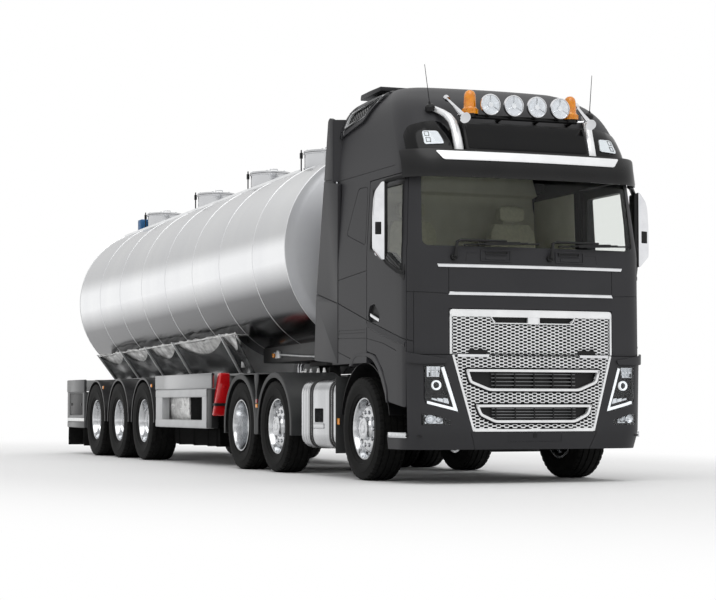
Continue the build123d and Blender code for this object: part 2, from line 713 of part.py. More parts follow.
# Outer side panels stand ahead of and behind the wheels
panel_spans = ((trailer_rear_x, -5760), (-1790, trailer_rail_front_x))
cross_member_xs = (-6810, -5800, -4435, -3125, -1820, -900, 150)
with BuildPart() as trailer_frame:
    for side in (1, -1):
        block(trailer_rear_x, 400, side * beam_in_y, side * beam_out_y, beam_low_z, beam_top_z)
        block(trailer_rear_x, trailer_rail_front_x, side * inner_rail_y, side * (inner_rail_y + 40), rail_bottom_z, beam_top_z)
        for x0, x1 in panel_spans:
            block(x0, x1, side * 1200, side * skin_y, rail_bottom_z, beam_top_z)
        # Landing leg with its foot, raised for the road
        block(leg_x - 60, leg_x + 60, side * (leg_y - 60), side * (leg_y + 60), 330, beam_top_z)
        block(leg_x - 110, leg_x + 110, side * (leg_y - 110), side * (leg_y + 110), 300, 330)
    for x in cross_member_xs:
        reach = 1200 if any(x0 <= x - 40 and x + 40 <= x1 for x0, x1 in panel_spans) else inner_rail_y
        block(x - 40, x + 40, -reach, reach, beam_low_z + 30, beam_top_z - 10)
    with Locations(Plane((leg_x, 0, 700), z_dir=(0, 1, 0))):
        Cylinder(25, 2 * leg_y)
save(trailer_frame.part, "trailer_frame")

# Trailing arms carry each axle; an air spring behind it meets the beam above
with BuildPart() as trailer_axles:
    for x in trailer_axle_xs:
        block(x - 70, x + 70, -880, 880, trailer_tyre_r - 70, trailer_tyre_r + 70)
        with Locations(Plane((x, 0, trailer_tyre_r), z_dir=(0, 1, 0))):
            Cylinder(stub_r, 2220)
        for side in (1, -1):
            y0, y1 = side * (beam_in_y + 10), side * (beam_out_y - 10)
            block(x - 430, x + 520, y0, y1, trailer_tyre_r - 110, trailer_tyre_r - 60)
            block(x + 440, x + 540, y0, y1, trailer_tyre_r - 110, beam_low_z)
            with Locations((x - 330, side * (beam_in_y + beam_out_y) / 2, trailer_tyre_r - 60)):
                Cylinder(130, beam_low_z - trailer_tyre_r + 60, align=(Align.CENTER, Align.CENTER, Align.MIN))
save(trailer_axles.part, "trailer_axles")

# Mudguard bands, held off the inner rail, and the box section guard frame ahead of the wheels
band_r = 572
band_thick = 14
guard_front_x = 490
guard_rear_x = -1770
guard_in_y = 1135
guard_low_z = 455
guard_bar = 100
with BuildPart() as left_trailer_guards:
    for x in trailer_axle_xs:
        add(guard_arc(x, trailer_tyre_r, band_r, band_thick, 0, 180, 852, 1240))
        block(x - 25, x + 25, inner_rail_y + 40, 860, 1102, 1114)
    block(guard_rear_x, guard_front_x, guard_in_y, skin_y, guard_low_z, guard_low_z + guard_bar)
    block(guard_rear_x, guard_front_x, guard_in_y, skin_y, rail_bottom_z - guard_bar, rail_bottom_z)
    block(guard_rear_x, guard_rear_x + 120, guard_in_y, skin_y, guard_low_z, rail_bottom_z)
    block(guard_front_x - 180, guard_front_x, guard_in_y, skin_y, guard_low_z, rail_bottom_z)
save(both_sides(left_trailer_guards.part), "trailer_guards")

# Rear: cabinets below the side panels, joined by the underrun bar, with a flap behind the last wheel each side
cabinet_low_z = 400
hook_y = 1140
with BuildPart() as rear_cabinets:
    for side in (1, -1):
        block(trailer_rear_x, -5770, side * 880, side * (skin_y - 5), cabinet_low_z, rail_bottom_z)
        block(-5800, -5785, side * 880, side * 1235, 130, cabinet_low_z)
        block(tail_x, trailer_rear_x, side * (hook_y - 30), side * (hook_y + 30), 830, 870)
    block(trailer_rear_x, trailer_rear_x + 120, -900, 900, 440, 560)
    for y in (-470, 470):
        block(trailer_rear_x + 20, trailer_rear_x + 100, y - 40, y + 40, 560, beam_low_z)
save(rear_cabinets.part, "rear_cabinets")

# Extinguisher boxes stand at the front ends of the side panels
with BuildPart() as right_box:
    with BuildSketch(Plane.YZ.offset(trailer_rail_front_x)) as outline:
        with BuildLine():
            Polyline((-1235, 640), (-1205, 610), (-1075, 610), (-1035, 1130), (-1200, 1130), (-1235, 1100), close=True)
        make_face()
    extrude(amount=130)
save(both_sides(right_box.part), "extinguisher_boxes")

# Walkway rails along the top of the tank, and the ladder behind it
walkway_front_x = 1700
walkway_length = 8000
walkway_y = 470
ladder_top_z = 3300
with BuildPart() as walkway:
    for side in (1, -1):
        rail_plane = Plane(
            (walkway_front_x, side * walkway_y, tank_top(walkway_front_x) - 105), x_dir=(0, 1, 0), z_dir=tank_direction
        )
        with BuildSketch(rail_plane):
            Rectangle(30, 60)
        extrude(amount=walkway_length)
        block(trailer_rear_x - 40, trailer_rear_x, side * 240, side * 200, 1000, ladder_top_z)
        block(trailer_rear_x - 40, -6450, side * 240, side * 200, ladder_top_z - 40, ladder_top_z)
    for z in range(1150, ladder_top_z, 300):
        block(trailer_rear_x - 35, trailer_rear_x - 10, -200, 200, z, z + 25)
    add(clear_tank, mode=Mode.SUBTRACT)
save(walkway.part, "walkway_rails")
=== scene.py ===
import math

import bmesh
import bpy
from mathutils import Matrix, Vector, noise


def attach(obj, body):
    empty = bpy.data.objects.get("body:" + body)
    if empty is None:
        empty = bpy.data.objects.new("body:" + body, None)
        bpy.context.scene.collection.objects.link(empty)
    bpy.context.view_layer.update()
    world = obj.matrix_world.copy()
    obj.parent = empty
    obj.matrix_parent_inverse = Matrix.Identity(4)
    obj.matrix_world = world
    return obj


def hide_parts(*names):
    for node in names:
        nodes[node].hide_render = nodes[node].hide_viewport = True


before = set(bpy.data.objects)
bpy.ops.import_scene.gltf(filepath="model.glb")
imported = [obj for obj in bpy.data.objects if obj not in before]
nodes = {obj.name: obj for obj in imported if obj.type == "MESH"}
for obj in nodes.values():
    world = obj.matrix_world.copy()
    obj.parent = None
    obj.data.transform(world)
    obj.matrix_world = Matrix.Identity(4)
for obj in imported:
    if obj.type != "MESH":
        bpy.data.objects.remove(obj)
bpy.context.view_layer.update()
scene = bpy.context.scene
print("frame loaded:", len(nodes), "nodes")


def linear(hexCode):
    # sRGB hex to the linear colour that shaders use
    channels = [int(hexCode[i:i + 2], 16) / 255 for i in (1, 3, 5)]
    return tuple(c / 12.92 if c <= 0.04045 else ((c + 0.055) / 1.055) ** 2.4 for c in channels) + (1.0,)


def addNode(tree, kind, settings=(), links=()):
    node = tree.nodes.new(kind)
    for name, value in dict(settings).items():
        if isinstance(name, str) and hasattr(node, name):
            setattr(node, name, value)
        else:
            node.inputs[name].default_value = value
    for name, source in dict(links).items():
        tree.links.new(source, node.inputs[name])
    return node


def newMaterial(name):
    material = bpy.data.materials.new(name)
    material.use_nodes = True
    return material, material.node_tree, material.node_tree.nodes["Principled BSDF"]


def makeFinish(name, spec):
    # One surface from its dictionary: two close colours in patches, a roughness range, a fine grain
    material, tree, shader = newMaterial(name)
    coords = addNode(tree, "ShaderNodeTexCoord")
    stretch = addNode(tree, "ShaderNodeMapping", {"Scale": spec.get("stretch", (1, 1, 1))},
                      {"Vector": coords.outputs["Object"]})
    patches = addNode(tree, "ShaderNodeTexNoise", {"Scale": 1000 / spec["patchMm"], "Detail": 4.0},
                      {"Vector": stretch.outputs["Vector"]})
    colours = addNode(tree, "ShaderNodeValToRGB", {}, {"Fac": patches.outputs["Fac"]})
    colours.color_ramp.elements[0].position, colours.color_ramp.elements[1].position = 0.35, 0.65
    colours.color_ramp.elements[0].color = linear(spec["colour"])
    colours.color_ramp.elements[1].color = linear(spec["second"])
    tree.links.new(colours.outputs["Color"], shader.inputs["Base Color"])
    low, high = spec["roughness"]
    sheen = addNode(tree, "ShaderNodeMapRange", {"To Min": low, "To Max": high},
                    {"Value": patches.outputs["Fac"]})
    tree.links.new(sheen.outputs["Result"], shader.inputs["Roughness"])
    grain = addNode(tree, "ShaderNodeTexNoise", {"Scale": 1000 / spec["grainMm"], "Detail": 3.0},
                    {"Vector": stretch.outputs["Vector"]})
    bump = addNode(tree, "ShaderNodeBump",
                   {"Strength": spec.get("bump", 0.2), "Distance": spec["grainMm"] / 4000},
                   {"Height": grain.outputs["Fac"]})
    tree.links.new(bump.outputs["Normal"], shader.inputs["Normal"])
    for socket, value in spec.get("shader", {}).items():
        shader.inputs[socket].default_value = value
    return material


# Two-coat vehicle paint, satin: dark grey with a soft clear-coat glow, faint orange peel
cabPaint = makeFinish("satinVehiclePaint", {
    "colour": "#303032", "second": "#343436", "patchMm": 900, "roughness": (0.4, 0.48),
    "grainMm": 6, "bump": 0.05,
    "shader": {"Coat Weight": 0.03, "Coat Roughness": 0.3, "IOR": 1.5, "Specular IOR Level": 0.15}})
# Moulded ABS with a fine spark-eroded grain: near black, dull
blackPlastic = makeFinish("mouldedBlackAbs", {
    "colour": "#0d0d0e", "second": "#121213", "patchMm": 120, "roughness": (0.42, 0.58),
    "grainMm": 2, "bump": 0.35, "shader": {"IOR": 1.53, "Specular IOR Level": 0.3}})
# Satin black visor: smoother than the other mouldings
visorPlastic = makeFinish("satinBlackVisor", {
    "colour": "#0c0c0d", "second": "#101011", "patchMm": 300, "roughness": (0.24, 0.32),
    "grainMm": 5, "bump": 0.04, "shader": {"IOR": 1.5, "Specular IOR Level": 0.35}})
# Gloss black acrylic panel
glossBlack = makeFinish("glossBlackAcrylic", {
    "colour": "#08080a", "second": "#0b0b0c", "patchMm": 300, "roughness": (0.08, 0.14),
    "grainMm": 8, "bump": 0.02, "shader": {"IOR": 1.49, "Specular IOR Level": 0.2}})
# Vulcanised tyre rubber: charcoal, chalky, with a dusty bloom in patches
tyreRubber = makeFinish("vulcanisedRubber", {
    "colour": "#090909", "second": "#141413", "patchMm": 60, "roughness": (0.6, 0.78),
    "grainMm": 3, "bump": 0.4, "shader": {"IOR": 1.52, "Specular IOR Level": 0.12}})
# Polished forged aluminium: bright, slightly cloudy, with turning marks
polishedAluminium = makeFinish("polishedForgedAluminium", {
    "colour": "#d8d9db", "second": "#c6c8ca", "patchMm": 40, "roughness": (0.1, 0.22),
    "grainMm": 5, "bump": 0.06, "shader": {"Metallic": 1.0}})
# Bright chrome plate over plastic and steel trim
chromePlate = makeFinish("brightChromePlate", {
    "colour": "#e6e7e9", "second": "#dcdde0", "patchMm": 150, "roughness": (0.04, 0.09),
    "grainMm": 20, "bump": 0.02, "shader": {"Metallic": 1.0}})
# Vacuum-coated reflector: silvery, hazy, a little mottled
lampSilver = makeFinish("vacuumCoatedReflector", {
    "colour": "#f4f5f6", "second": "#e2e3e5", "patchMm": 40, "roughness": (0.1, 0.2),
    "grainMm": 14, "bump": 0.12, "shader": {"Metallic": 0.9}})
# Satin anodised aluminium: pale grey, even, softly reflecting
anodisedAluminium = makeFinish("satinAnodisedAluminium", {
    "colour": "#f1f2f3", "second": "#e7e8e9", "patchMm": 200, "roughness": (0.26, 0.34),
    "grainMm": 3, "bump": 0.08, "shader": {"Metallic": 0.6}})
# Semi-gloss chassis paint over rolled steel: almost black, dusted
chassisPaint = makeFinish("chassisTopcoat", {
    "colour": "#202122", "second": "#2a2a2a", "patchMm": 250, "roughness": (0.4, 0.6),
    "grainMm": 8, "bump": 0.15, "shader": {"IOR": 1.5}})
# Sand-cast iron under thin black paint
castIron = makeFinish("paintedSandCasting", {
    "colour": "#191919", "second": "#242322", "patchMm": 90, "roughness": (0.55, 0.75),
    "grainMm": 5, "bump": 0.5, "shader": {"IOR": 1.5}})
# Zinc-rich grey paint on pressed steel frames
zincPaint = makeFinish("zincGreyPaint", {
    "colour": "#8e8f8f", "second": "#999a9a", "patchMm": 400, "roughness": (0.36, 0.5),
    "grainMm": 7, "bump": 0.12, "shader": {"Metallic": 0.25, "IOR": 1.5}})
# Moulded glass-fibre box in signal red, glossy
redFibreglass = makeFinish("glossRedFibreglass", {
    "colour": "#b3070f", "second": "#c20c14", "patchMm": 200, "roughness": (0.18, 0.3),
    "grainMm": 10, "bump": 0.05, "shader": {"Coat Weight": 0.6, "Coat Roughness": 0.08, "IOR": 1.5}})
# Transparent-body amber acrylic for beacons and side markers
amberAcrylic = makeFinish("amberAcrylic", {
    "colour": "#e08c06", "second": "#cc7802", "patchMm": 50, "roughness": (0.12, 0.2),
    "grainMm": 6, "bump": 0.3, "shader": {"IOR": 1.49, "Subsurface Weight": 0.15, "Coat Weight": 0.5}})
# Red acrylic of the tail lamps: deep, glossy
redAcrylic = makeFinish("redLensAcrylic", {
    "colour": "#8e0d0c", "second": "#7a0909", "patchMm": 40, "roughness": (0.12, 0.2),
    "grainMm": 6, "bump": 0.3, "shader": {"IOR": 1.49, "Coat Weight": 0.5}})
# Opal acrylic of the light guides, with the soft glow of light carried through it
opalAcrylic = makeFinish("opalLightGuideAcrylic", {
    "colour": "#f4f5f5", "second": "#eceded", "patchMm": 60, "roughness": (0.3, 0.4),
    "grainMm": 3, "bump": 0.05, "shader": {"IOR": 1.49, "Emission Strength": 0.45}})
# White moulded nylon fittings
whiteNylon = makeFinish("whiteMouldedNylon", {
    "colour": "#f6f7f6", "second": "#eeefee", "patchMm": 60, "roughness": (0.35, 0.5),
    "grainMm": 3, "bump": 0.1, "shader": {"IOR": 1.53}})
# Blue powder coat on the valve box
bluePowder = makeFinish("bluePowderCoat", {
    "colour": "#10598c", "second": "#0d4f7d", "patchMm": 60, "roughness": (0.35, 0.5),
    "grainMm": 3, "bump": 0.2, "shader": {"IOR": 1.5}})
# Textured cab trim in olive grey, soft-touch
cabTrim = makeFinish("softTouchTrim", {
    "colour": "#cfcdbd", "second": "#d8d6c7", "patchMm": 180, "roughness": (0.6, 0.75),
    "grainMm": 4, "bump": 0.4, "shader": {"IOR": 1.5}})
# Dashboard vinyl, grained and nearly matt
darkTrim = makeFinish("grainedDashboardVinyl", {
    "colour": "#2e2e2b", "second": "#363632", "patchMm": 150, "roughness": (0.5, 0.65),
    "grainMm": 4, "bump": 0.5, "shader": {"IOR": 1.5}})
# Woven seat cloth
seatCloth = makeFinish("wovenSeatCloth", {
    "colour": "#c4c2ac", "second": "#b5b39e", "patchMm": 30, "roughness": (0.75, 0.9),
    "grainMm": 3, "bump": 0.8, "shader": {"IOR": 1.45, "Sheen Weight": 0.3}})


def makeTankSteelPaintedShade(name, spec):
    # Polished stainless sheet with fine ring scratches, and a painted dark reflection: painted shade that
    # darkens it below the axis
    material = makeFinish(name, spec)
    tree = material.node_tree
    shader = tree.nodes["Principled BSDF"]
    place = addNode(tree, "ShaderNodeTexCoord")
    parts = addNode(tree, "ShaderNodeSeparateXYZ", {}, {"Vector": place.outputs["Object"]})
    # Height above the tank's sloping axis, in metres
    rise = addNode(tree, "ShaderNodeMath",
                   {"operation": "MULTIPLY_ADD", 1: -math.tan(math.radians(spec["slope"])),
                    2: spec["slopeStart"]}, {0: parts.outputs["X"]})
    above = addNode(tree, "ShaderNodeMath", {"operation": "ADD"},
                    {0: parts.outputs["Z"], 1: rise.outputs["Value"]})
    spread = addNode(tree, "ShaderNodeMapRange",
                     {"From Min": -spec["radius"], "From Max": spec["radius"]},
                     {"Value": above.outputs["Value"]})
    # Painted shade: darker towards the bottom of the barrel and white above, standing in for reflected
    # surroundings
    filmAndPaintedShade = addNode(tree, "ShaderNodeValToRGB", {}, {"Fac": spread.outputs["Result"]})
    ramp = filmAndPaintedShade.color_ramp
    ramp.elements[0].position, ramp.elements[0].color = spec["filmAndPaintedShade"][0][0], linear(spec["filmAndPaintedShade"][0][1])
    ramp.elements[1].position, ramp.elements[1].color = spec["filmAndPaintedShade"][-1][0], linear(spec["filmAndPaintedShade"][-1][1])
    for position, hexCode in spec["filmAndPaintedShade"][1:-1]:
        ramp.elements.new(position).color = linear(hexCode)
    base = shader.inputs["Base Color"].links[0].from_socket
    paintedShadeTint = addNode(tree, "ShaderNodeMix", {"data_type": "RGBA", "blend_type": "MULTIPLY", "Factor": 1.0})
    tree.links.new(base, paintedShadeTint.inputs[6])
    tree.links.new(filmAndPaintedShade.outputs["Color"], paintedShadeTint.inputs[7])
    tree.links.new(paintedShadeTint.outputs[2], shader.inputs["Base Color"])
    return material


# Tank steel: its ramp is a painted dark reflection, darker below the axis and white towards the top
steelBase = {"colour": "#f2f3f4", "second": "#ebecee", "patchMm": 700, "roughness": (0.14, 0.19),
             "grainMm": 4, "bump": 0.03, "stretch": (1, 0.2, 0.2), "shader": {"Metallic": 1.0},
             "slope": 1.0, "slopeStart": -2.476 + 3.1 * 0.017455, "radius": 1.148,
             "filmAndPaintedShade": ((0.0, "#2a2a2c"), (0.14, "#353537"), (0.3, "#58585a"), (0.44, "#ffffff"),
                      (1.0, "#ffffff"))}
tankSteelPaintedShade = makeTankSteelPaintedShade("polishedStainlessPaintedShade", steelBase)
# Dressed weld beads: bright narrow bands
weldSteel = makeFinish("dressedWeldSteel", {
    "colour": "#e9eaeb", "second": "#dfe0e1", "patchMm": 60, "roughness": (0.3, 0.4),
    "grainMm": 3, "bump": 0.1, "shader": {"Metallic": 0.8}})
# Turned stainless necks and lids: even and bright
brightSteel = makeFinish("brightTurnedStainless", {
    "colour": "#cdced0", "second": "#c6c7c9", "patchMm": 300, "roughness": (0.16, 0.22),
    "grainMm": 4, "bump": 0.0, "shader": {"Metallic": 1.0}})
# Dished heads: duller ground sheet
headSteel = makeFinish("groundHeadSheet", {
    "colour": "#a2a3a6", "second": "#a9aaac", "patchMm": 500, "roughness": (0.42, 0.5),
    "grainMm": 4, "bump": 0.03, "shader": {"Metallic": 0.75}})
# Ground steel ribs and arms: pale, softly reflecting
satinSteel = makeFinish("satinGroundSteel", {
    "colour": "#d0d1d2", "second": "#c4c5c6", "patchMm": 120, "roughness": (0.28, 0.38),
    "grainMm": 3, "bump": 0.1, "shader": {"Metallic": 0.25}})
# Bright side sheet: lightly brushed, a little film in patches
panelSteel = makeFinish("brushedSideSheet", {
    "colour": "#a2a3a4", "second": "#8b8c8d", "patchMm": 500, "roughness": (0.16, 0.28),
    "grainMm": 5, "bump": 0.08, "stretch": (0.15, 1, 1), "shader": {"Metallic": 1.0}})
# Silver painted box section, satin
frameMetal = makeFinish("silverPaintedSteel", {
    "colour": "#b3b4b5", "second": "#bdbebf", "patchMm": 300, "roughness": (0.34, 0.46),
    "grainMm": 6, "bump": 0.1, "shader": {"Metallic": 0.35}})
# Grey metallic paint on the rear cabinets
cabinetMetal = makeFinish("greyMetallicPaint", {
    "colour": "#565758", "second": "#4a4b4c", "patchMm": 350, "roughness": (0.26, 0.36),
    "grainMm": 7, "bump": 0.08, "shader": {"Metallic": 0.45}})
# Near-black, rough, with hardly any shine: painted deep shade for the bays under the trailer
paintedShadeBlack = makeFinish("nearBlackPaintedShade", {
    "colour": "#0a0a0a", "second": "#0f0f0f", "patchMm": 150, "roughness": (0.85, 0.95),
    "grainMm": 5, "bump": 0.4, "shader": {"IOR": 1.5, "Specular IOR Level": 0.05}})
# Dark grey paint of the cabinet doors and guard ends: low sheen that does not flare at a low angle
darkPanel = makeFinish("darkGreyDoorPaint", {
    "colour": "#1d1d1e", "second": "#242425", "patchMm": 200, "roughness": (0.3, 0.42),
    "grainMm": 6, "bump": 0.1, "shader": {"IOR": 1.5, "Specular IOR Level": 0.14}})
# Thin rolled plastic of the trailer's fenders: black with a low shine
fenderPlastic = makeFinish("rolledFenderPlastic", {
    "colour": "#19191a", "second": "#222223", "patchMm": 120, "roughness": (0.28, 0.4),
    "grainMm": 3, "bump": 0.15, "shader": {"IOR": 1.5}})
# Heavier moulded plastic of the tractor's mudguards: dark grey, duller
guardPlastic = makeFinish("greyGuardPlastic", {
    "colour": "#262728", "second": "#2d2e2e", "patchMm": 150, "roughness": (0.42, 0.55),
    "grainMm": 3, "bump": 0.25, "shader": {"IOR": 1.5, "Specular IOR Level": 0.35}})
# Polished tank aluminium with soft vertical rolling marks
tankAluminium = makeFinish("polishedTankAluminium", {
    "colour": "#d3d4d6", "second": "#bdbec0", "patchMm": 260, "roughness": (0.14, 0.24),
    "grainMm": 5, "bump": 0.05, "stretch": (1, 1, 0.2), "shader": {"Metallic": 1.0}})
# Stainless panels under road film: patchy dark grey that still reflects
darkSteel = makeFinish("filmedStainlessPanel", {
    "colour": "#58595a", "second": "#7a7b7c", "patchMm": 420, "roughness": (0.18, 0.28),
    "grainMm": 9, "bump": 0.08, "shader": {"Metallic": 0.7}})
# Crumpled foil wrap: bright, with darker colour patches of painted shade standing in for the creases
# between its facets
crumpledFoil = makeFinish("crumpledBrightFoil", {
    "colour": "#f8f8f7", "second": "#bdbdbc", "patchMm": 110, "roughness": (0.2, 0.3),
    "grainMm": 40, "bump": 0.9, "shader": {"Metallic": 0.3}})


def makeClear(name, colour, haze, ior, patchMm):
    # Clear sheet with a faint film of haze: it refracts for the eye and lets shadow rays straight through
    material, tree, shader = newMaterial(name)
    coords = addNode(tree, "ShaderNodeTexCoord")
    filmAndPaintedShade = addNode(tree, "ShaderNodeTexNoise", {"Scale": 1000 / patchMm, "Detail": 3.0},
                   {"Vector": coords.outputs["Object"]})
    rough = addNode(tree, "ShaderNodeMapRange", {"To Min": haze, "To Max": haze + 0.02},
                    {"Value": filmAndPaintedShade.outputs["Fac"]})
    tree.links.new(rough.outputs["Result"], shader.inputs["Roughness"])
    shader.inputs["Base Color"].default_value = linear(colour)
    shader.inputs["Transmission Weight"].default_value = 1.0
    shader.inputs["IOR"].default_value = ior
    rays = addNode(tree, "ShaderNodeLightPath")
    lets = addNode(tree, "ShaderNodeMath", {"operation": "MAXIMUM"},
                   {0: rays.outputs["Is Shadow Ray"], 1: rays.outputs["Is Diffuse Ray"]})
    through = addNode(tree, "ShaderNodeBsdfTransparent", {"Color": linear(colour)})
    mix = addNode(tree, "ShaderNodeMixShader", {},
                  {0: lets.outputs["Value"], 1: shader.outputs["BSDF"], 2: through.outputs["BSDF"]})
    tree.links.new(mix.outputs["Shader"], tree.nodes["Material Output"].inputs["Surface"])
    return material


# Laminated safety glass with the faintest green, and clear polycarbonate lamp covers
safetyGlass = makeClear("laminatedSafetyGlass", "#f3f5f3", 0.0, 1.2, 400)
lampCover = makeClear("clearPolycarbonate", "#f4f6f8", 0.0, 1.3, 100)


class Shape:
    # The points and faces of one piece while it is put together; each face keeps its paint number
    def __init__(self):
        self.points, self.faces, self.paints = [], [], []

    def add(self, points, faces, paint=0):
        known, index = {}, []
        for p in points:
            key = tuple(round(c, 5) for c in p)
            if key not in known:
                known[key] = len(self.points)
                self.points.append(tuple(p))
            index.append(known[key])
        for face in faces:
            loop = []
            for i in face:
                if not loop or index[i] != loop[-1]:
                    loop.append(index[i])
            if len(loop) > 1 and loop[0] == loop[-1]:
                loop.pop()
            if len(loop) > 2:
                self.faces.append(loop)
                self.paints.append(paint)
        return self

    def loft(self, rings, paint=0, closed=True, caps=True):
        n = len(rings[0])
        faces = []
        for k in range(len(rings) - 1):
            for i in range(n if closed else n - 1):
                j = (i + 1) % n
                faces.append((k * n + i, k * n + j, (k + 1) * n + j, (k + 1) * n + i))
        if caps:
            faces.append(tuple(range(n))[::-1])
            faces.append(tuple(range((len(rings) - 1) * n, len(rings) * n)))
        return self.add([p for ring in rings for p in ring], faces, paint)

    def prism(self, outline, axis, a, b, paint=0):
        # outline in the two other coordinates, in x, y, z order
        place = "xyz".index(axis)
        ends = [[(*q[:place], t, *q[place:]) for q in outline] for t in (a, b)]
        return self.loft(ends, paint)

    def box(self, x0, x1, y0, y1, z0, z1, paint=0):
        return self.prism(((y0, z0), (y1, z0), (y1, z1), (y0, z1)), "x", x0, x1, paint)

    def spin(self, profile, centre, axis, steps=48, paint=0, caps=False, turn=0.0):
        # profile of (distance along the axis, radius)
        way = Vector(axis).normalized()
        side = way.orthogonal().normalized()
        up = way.cross(side)
        rings = []
        for along, radius in profile:
            rings.append([
                Vector(centre) + way * along + (side * math.cos(a) + up * math.sin(a)) * radius
                for a in (turn + 2 * math.pi * i / steps for i in range(steps))
            ])
        return self.loft(rings, paint, caps=caps)

    def tube(self, path, radius, sides=12, paint=0, caps=True):
        path = [Vector(p) for p in path]
        rings, side = [], None
        for k, p in enumerate(path):
            way = (path[min(k + 1, len(path) - 1)] - path[max(k - 1, 0)]).normalized()
            side = (way.orthogonal() if side is None else side - way * side.dot(way)).normalized()
            up = way.cross(side)
            r = radius[k] if isinstance(radius, (list, tuple)) else radius
            rings.append([p + (side * math.cos(a) + up * math.sin(a)) * r
                          for a in (2 * math.pi * i / sides for i in range(sides))])
        return self.loft(rings, paint, caps=caps)

    def merge(self, other, move=(0, 0, 0)):
        start = len(self.points)
        self.points += [tuple(a + b for a, b in zip(p, move)) for p in other.points]
        self.faces += [[start + i for i in face] for face in other.faces]
        self.paints += other.paints
        return self

    def mirrored(self):
        twin = Shape()
        twin.points = [(x, -y, z) for x, y, z in self.points]
        twin.faces = [face[::-1] for face in self.faces]
        twin.paints = list(self.paints)
        return twin

    def both(self):
        return self.merge(self.mirrored())

    def sided(self, side):
        return self if side > 0 else self.mirrored()


def toMesh(shape, name):
    mesh = bpy.data.meshes.new(name)
    mesh.from_pydata(shape.points, [], shape.faces)
    mesh.polygons.foreach_set("material_index", shape.paints)
    work = bmesh.new()
    work.from_mesh(mesh)
    bmesh.ops.recalc_face_normals(work, faces=work.faces)
    work.to_mesh(mesh)
    work.free()
    return mesh


def fromNode(nodeName):
    # The frame's own solid as one closed mesh, ready to be carved
    mesh = bpy.data.meshes.new(nodeName + "Copy")
    work = bmesh.new()
    work.from_mesh(nodes[nodeName].data)
    for face in work.faces:
        face.material_index = 0
    bmesh.ops.remove_doubles(work, verts=work.verts, dist=0.00003)
    work.to_mesh(mesh)
    work.free()
    return mesh


def applyModifiers(piece):
    mesh = bpy.data.meshes.new_from_object(piece.evaluated_get(bpy.context.evaluated_depsgraph_get()))
    piece.modifiers.clear()
    piece.data = mesh


def make(name, shape, body, finishes, replaces=(), bevel=0.0, angle=32, cuts=(), keep=()):
    # Turns a shape, or the frame's solid of that name, into a piece: trimmed to keep, cuts taken out
    mesh = toMesh(shape, name) if isinstance(shape, Shape) else fromNode(shape)
    piece = bpy.data.objects.new(name, mesh)
    scene.collection.objects.link(piece)
    for finish in finishes:
        piece.data.materials.append(finish)
    for operation, others in (("INTERSECT", keep), ("DIFFERENCE", cuts)):
        for other in others:
            tool = bpy.data.objects.new(name + "Tool", toMesh(other, name + "Tool"))
            scene.collection.objects.link(tool)
            for finish in finishes:
                tool.data.materials.append(finish)
            carve = piece.modifiers.new("carve", "BOOLEAN")
            carve.object, carve.operation, carve.solver = tool, operation, "EXACT"
            applyModifiers(piece)
            bpy.data.objects.remove(tool)
    piece.name = name
    if bevel:
        edge = piece.modifiers.new("edge", "BEVEL")
        edge.width, edge.segments = bevel, 2
        edge.limit_method, edge.angle_limit = "ANGLE", math.radians(34)
        applyModifiers(piece)
    piece.data.shade_smooth()
    piece.data.set_sharp_from_angle(angle=math.radians(angle))
    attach(piece, body)
    if replaces:
        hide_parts(*replaces)
    return piece


def spread(count, radius, turn=0.0):
    # Places round a circle, as (cos, sin) times the radius
    return [(radius * math.cos(turn + 2 * math.pi * k / count),
             radius * math.sin(turn + 2 * math.pi * k / count)) for k in range(count)]


# Wheels: axle place, tyre radius and centres, tyre width, bead radius, kind of rim
wheels = {
    "front": {"x": 5.6, "r": 0.507, "centres": (1.082,), "width": 0.315, "bead": 0.31, "rim": "convex"},
    "pusher": {"x": 3.0, "r": 0.507, "centres": (1.082,), "width": 0.315, "bead": 0.31, "rim": "convex"},
    "drive": {"x": 1.79, "r": 0.507, "centres": (1.075, 0.73), "width": 0.315, "bead": 0.298,
              "rim": "twin"},
    "trailer1": {"x": -2.47, "r": 0.53, "centres": (1.052,), "width": 0.385, "bead": 0.298,
                 "rim": "dish"},
    "trailer2": {"x": -3.78, "r": 0.53, "centres": (1.052,), "width": 0.385, "bead": 0.298,
                 "rim": "dish"},
    "trailer3": {"x": -5.09, "r": 0.53, "centres": (1.052,), "width": 0.385, "bead": 0.298,
                 "rim": "dish"},
}
treadSteps = 168       # points round the tread
blockPitch = 4         # every fourth point is a cross groove
grooveDepth = 0.012

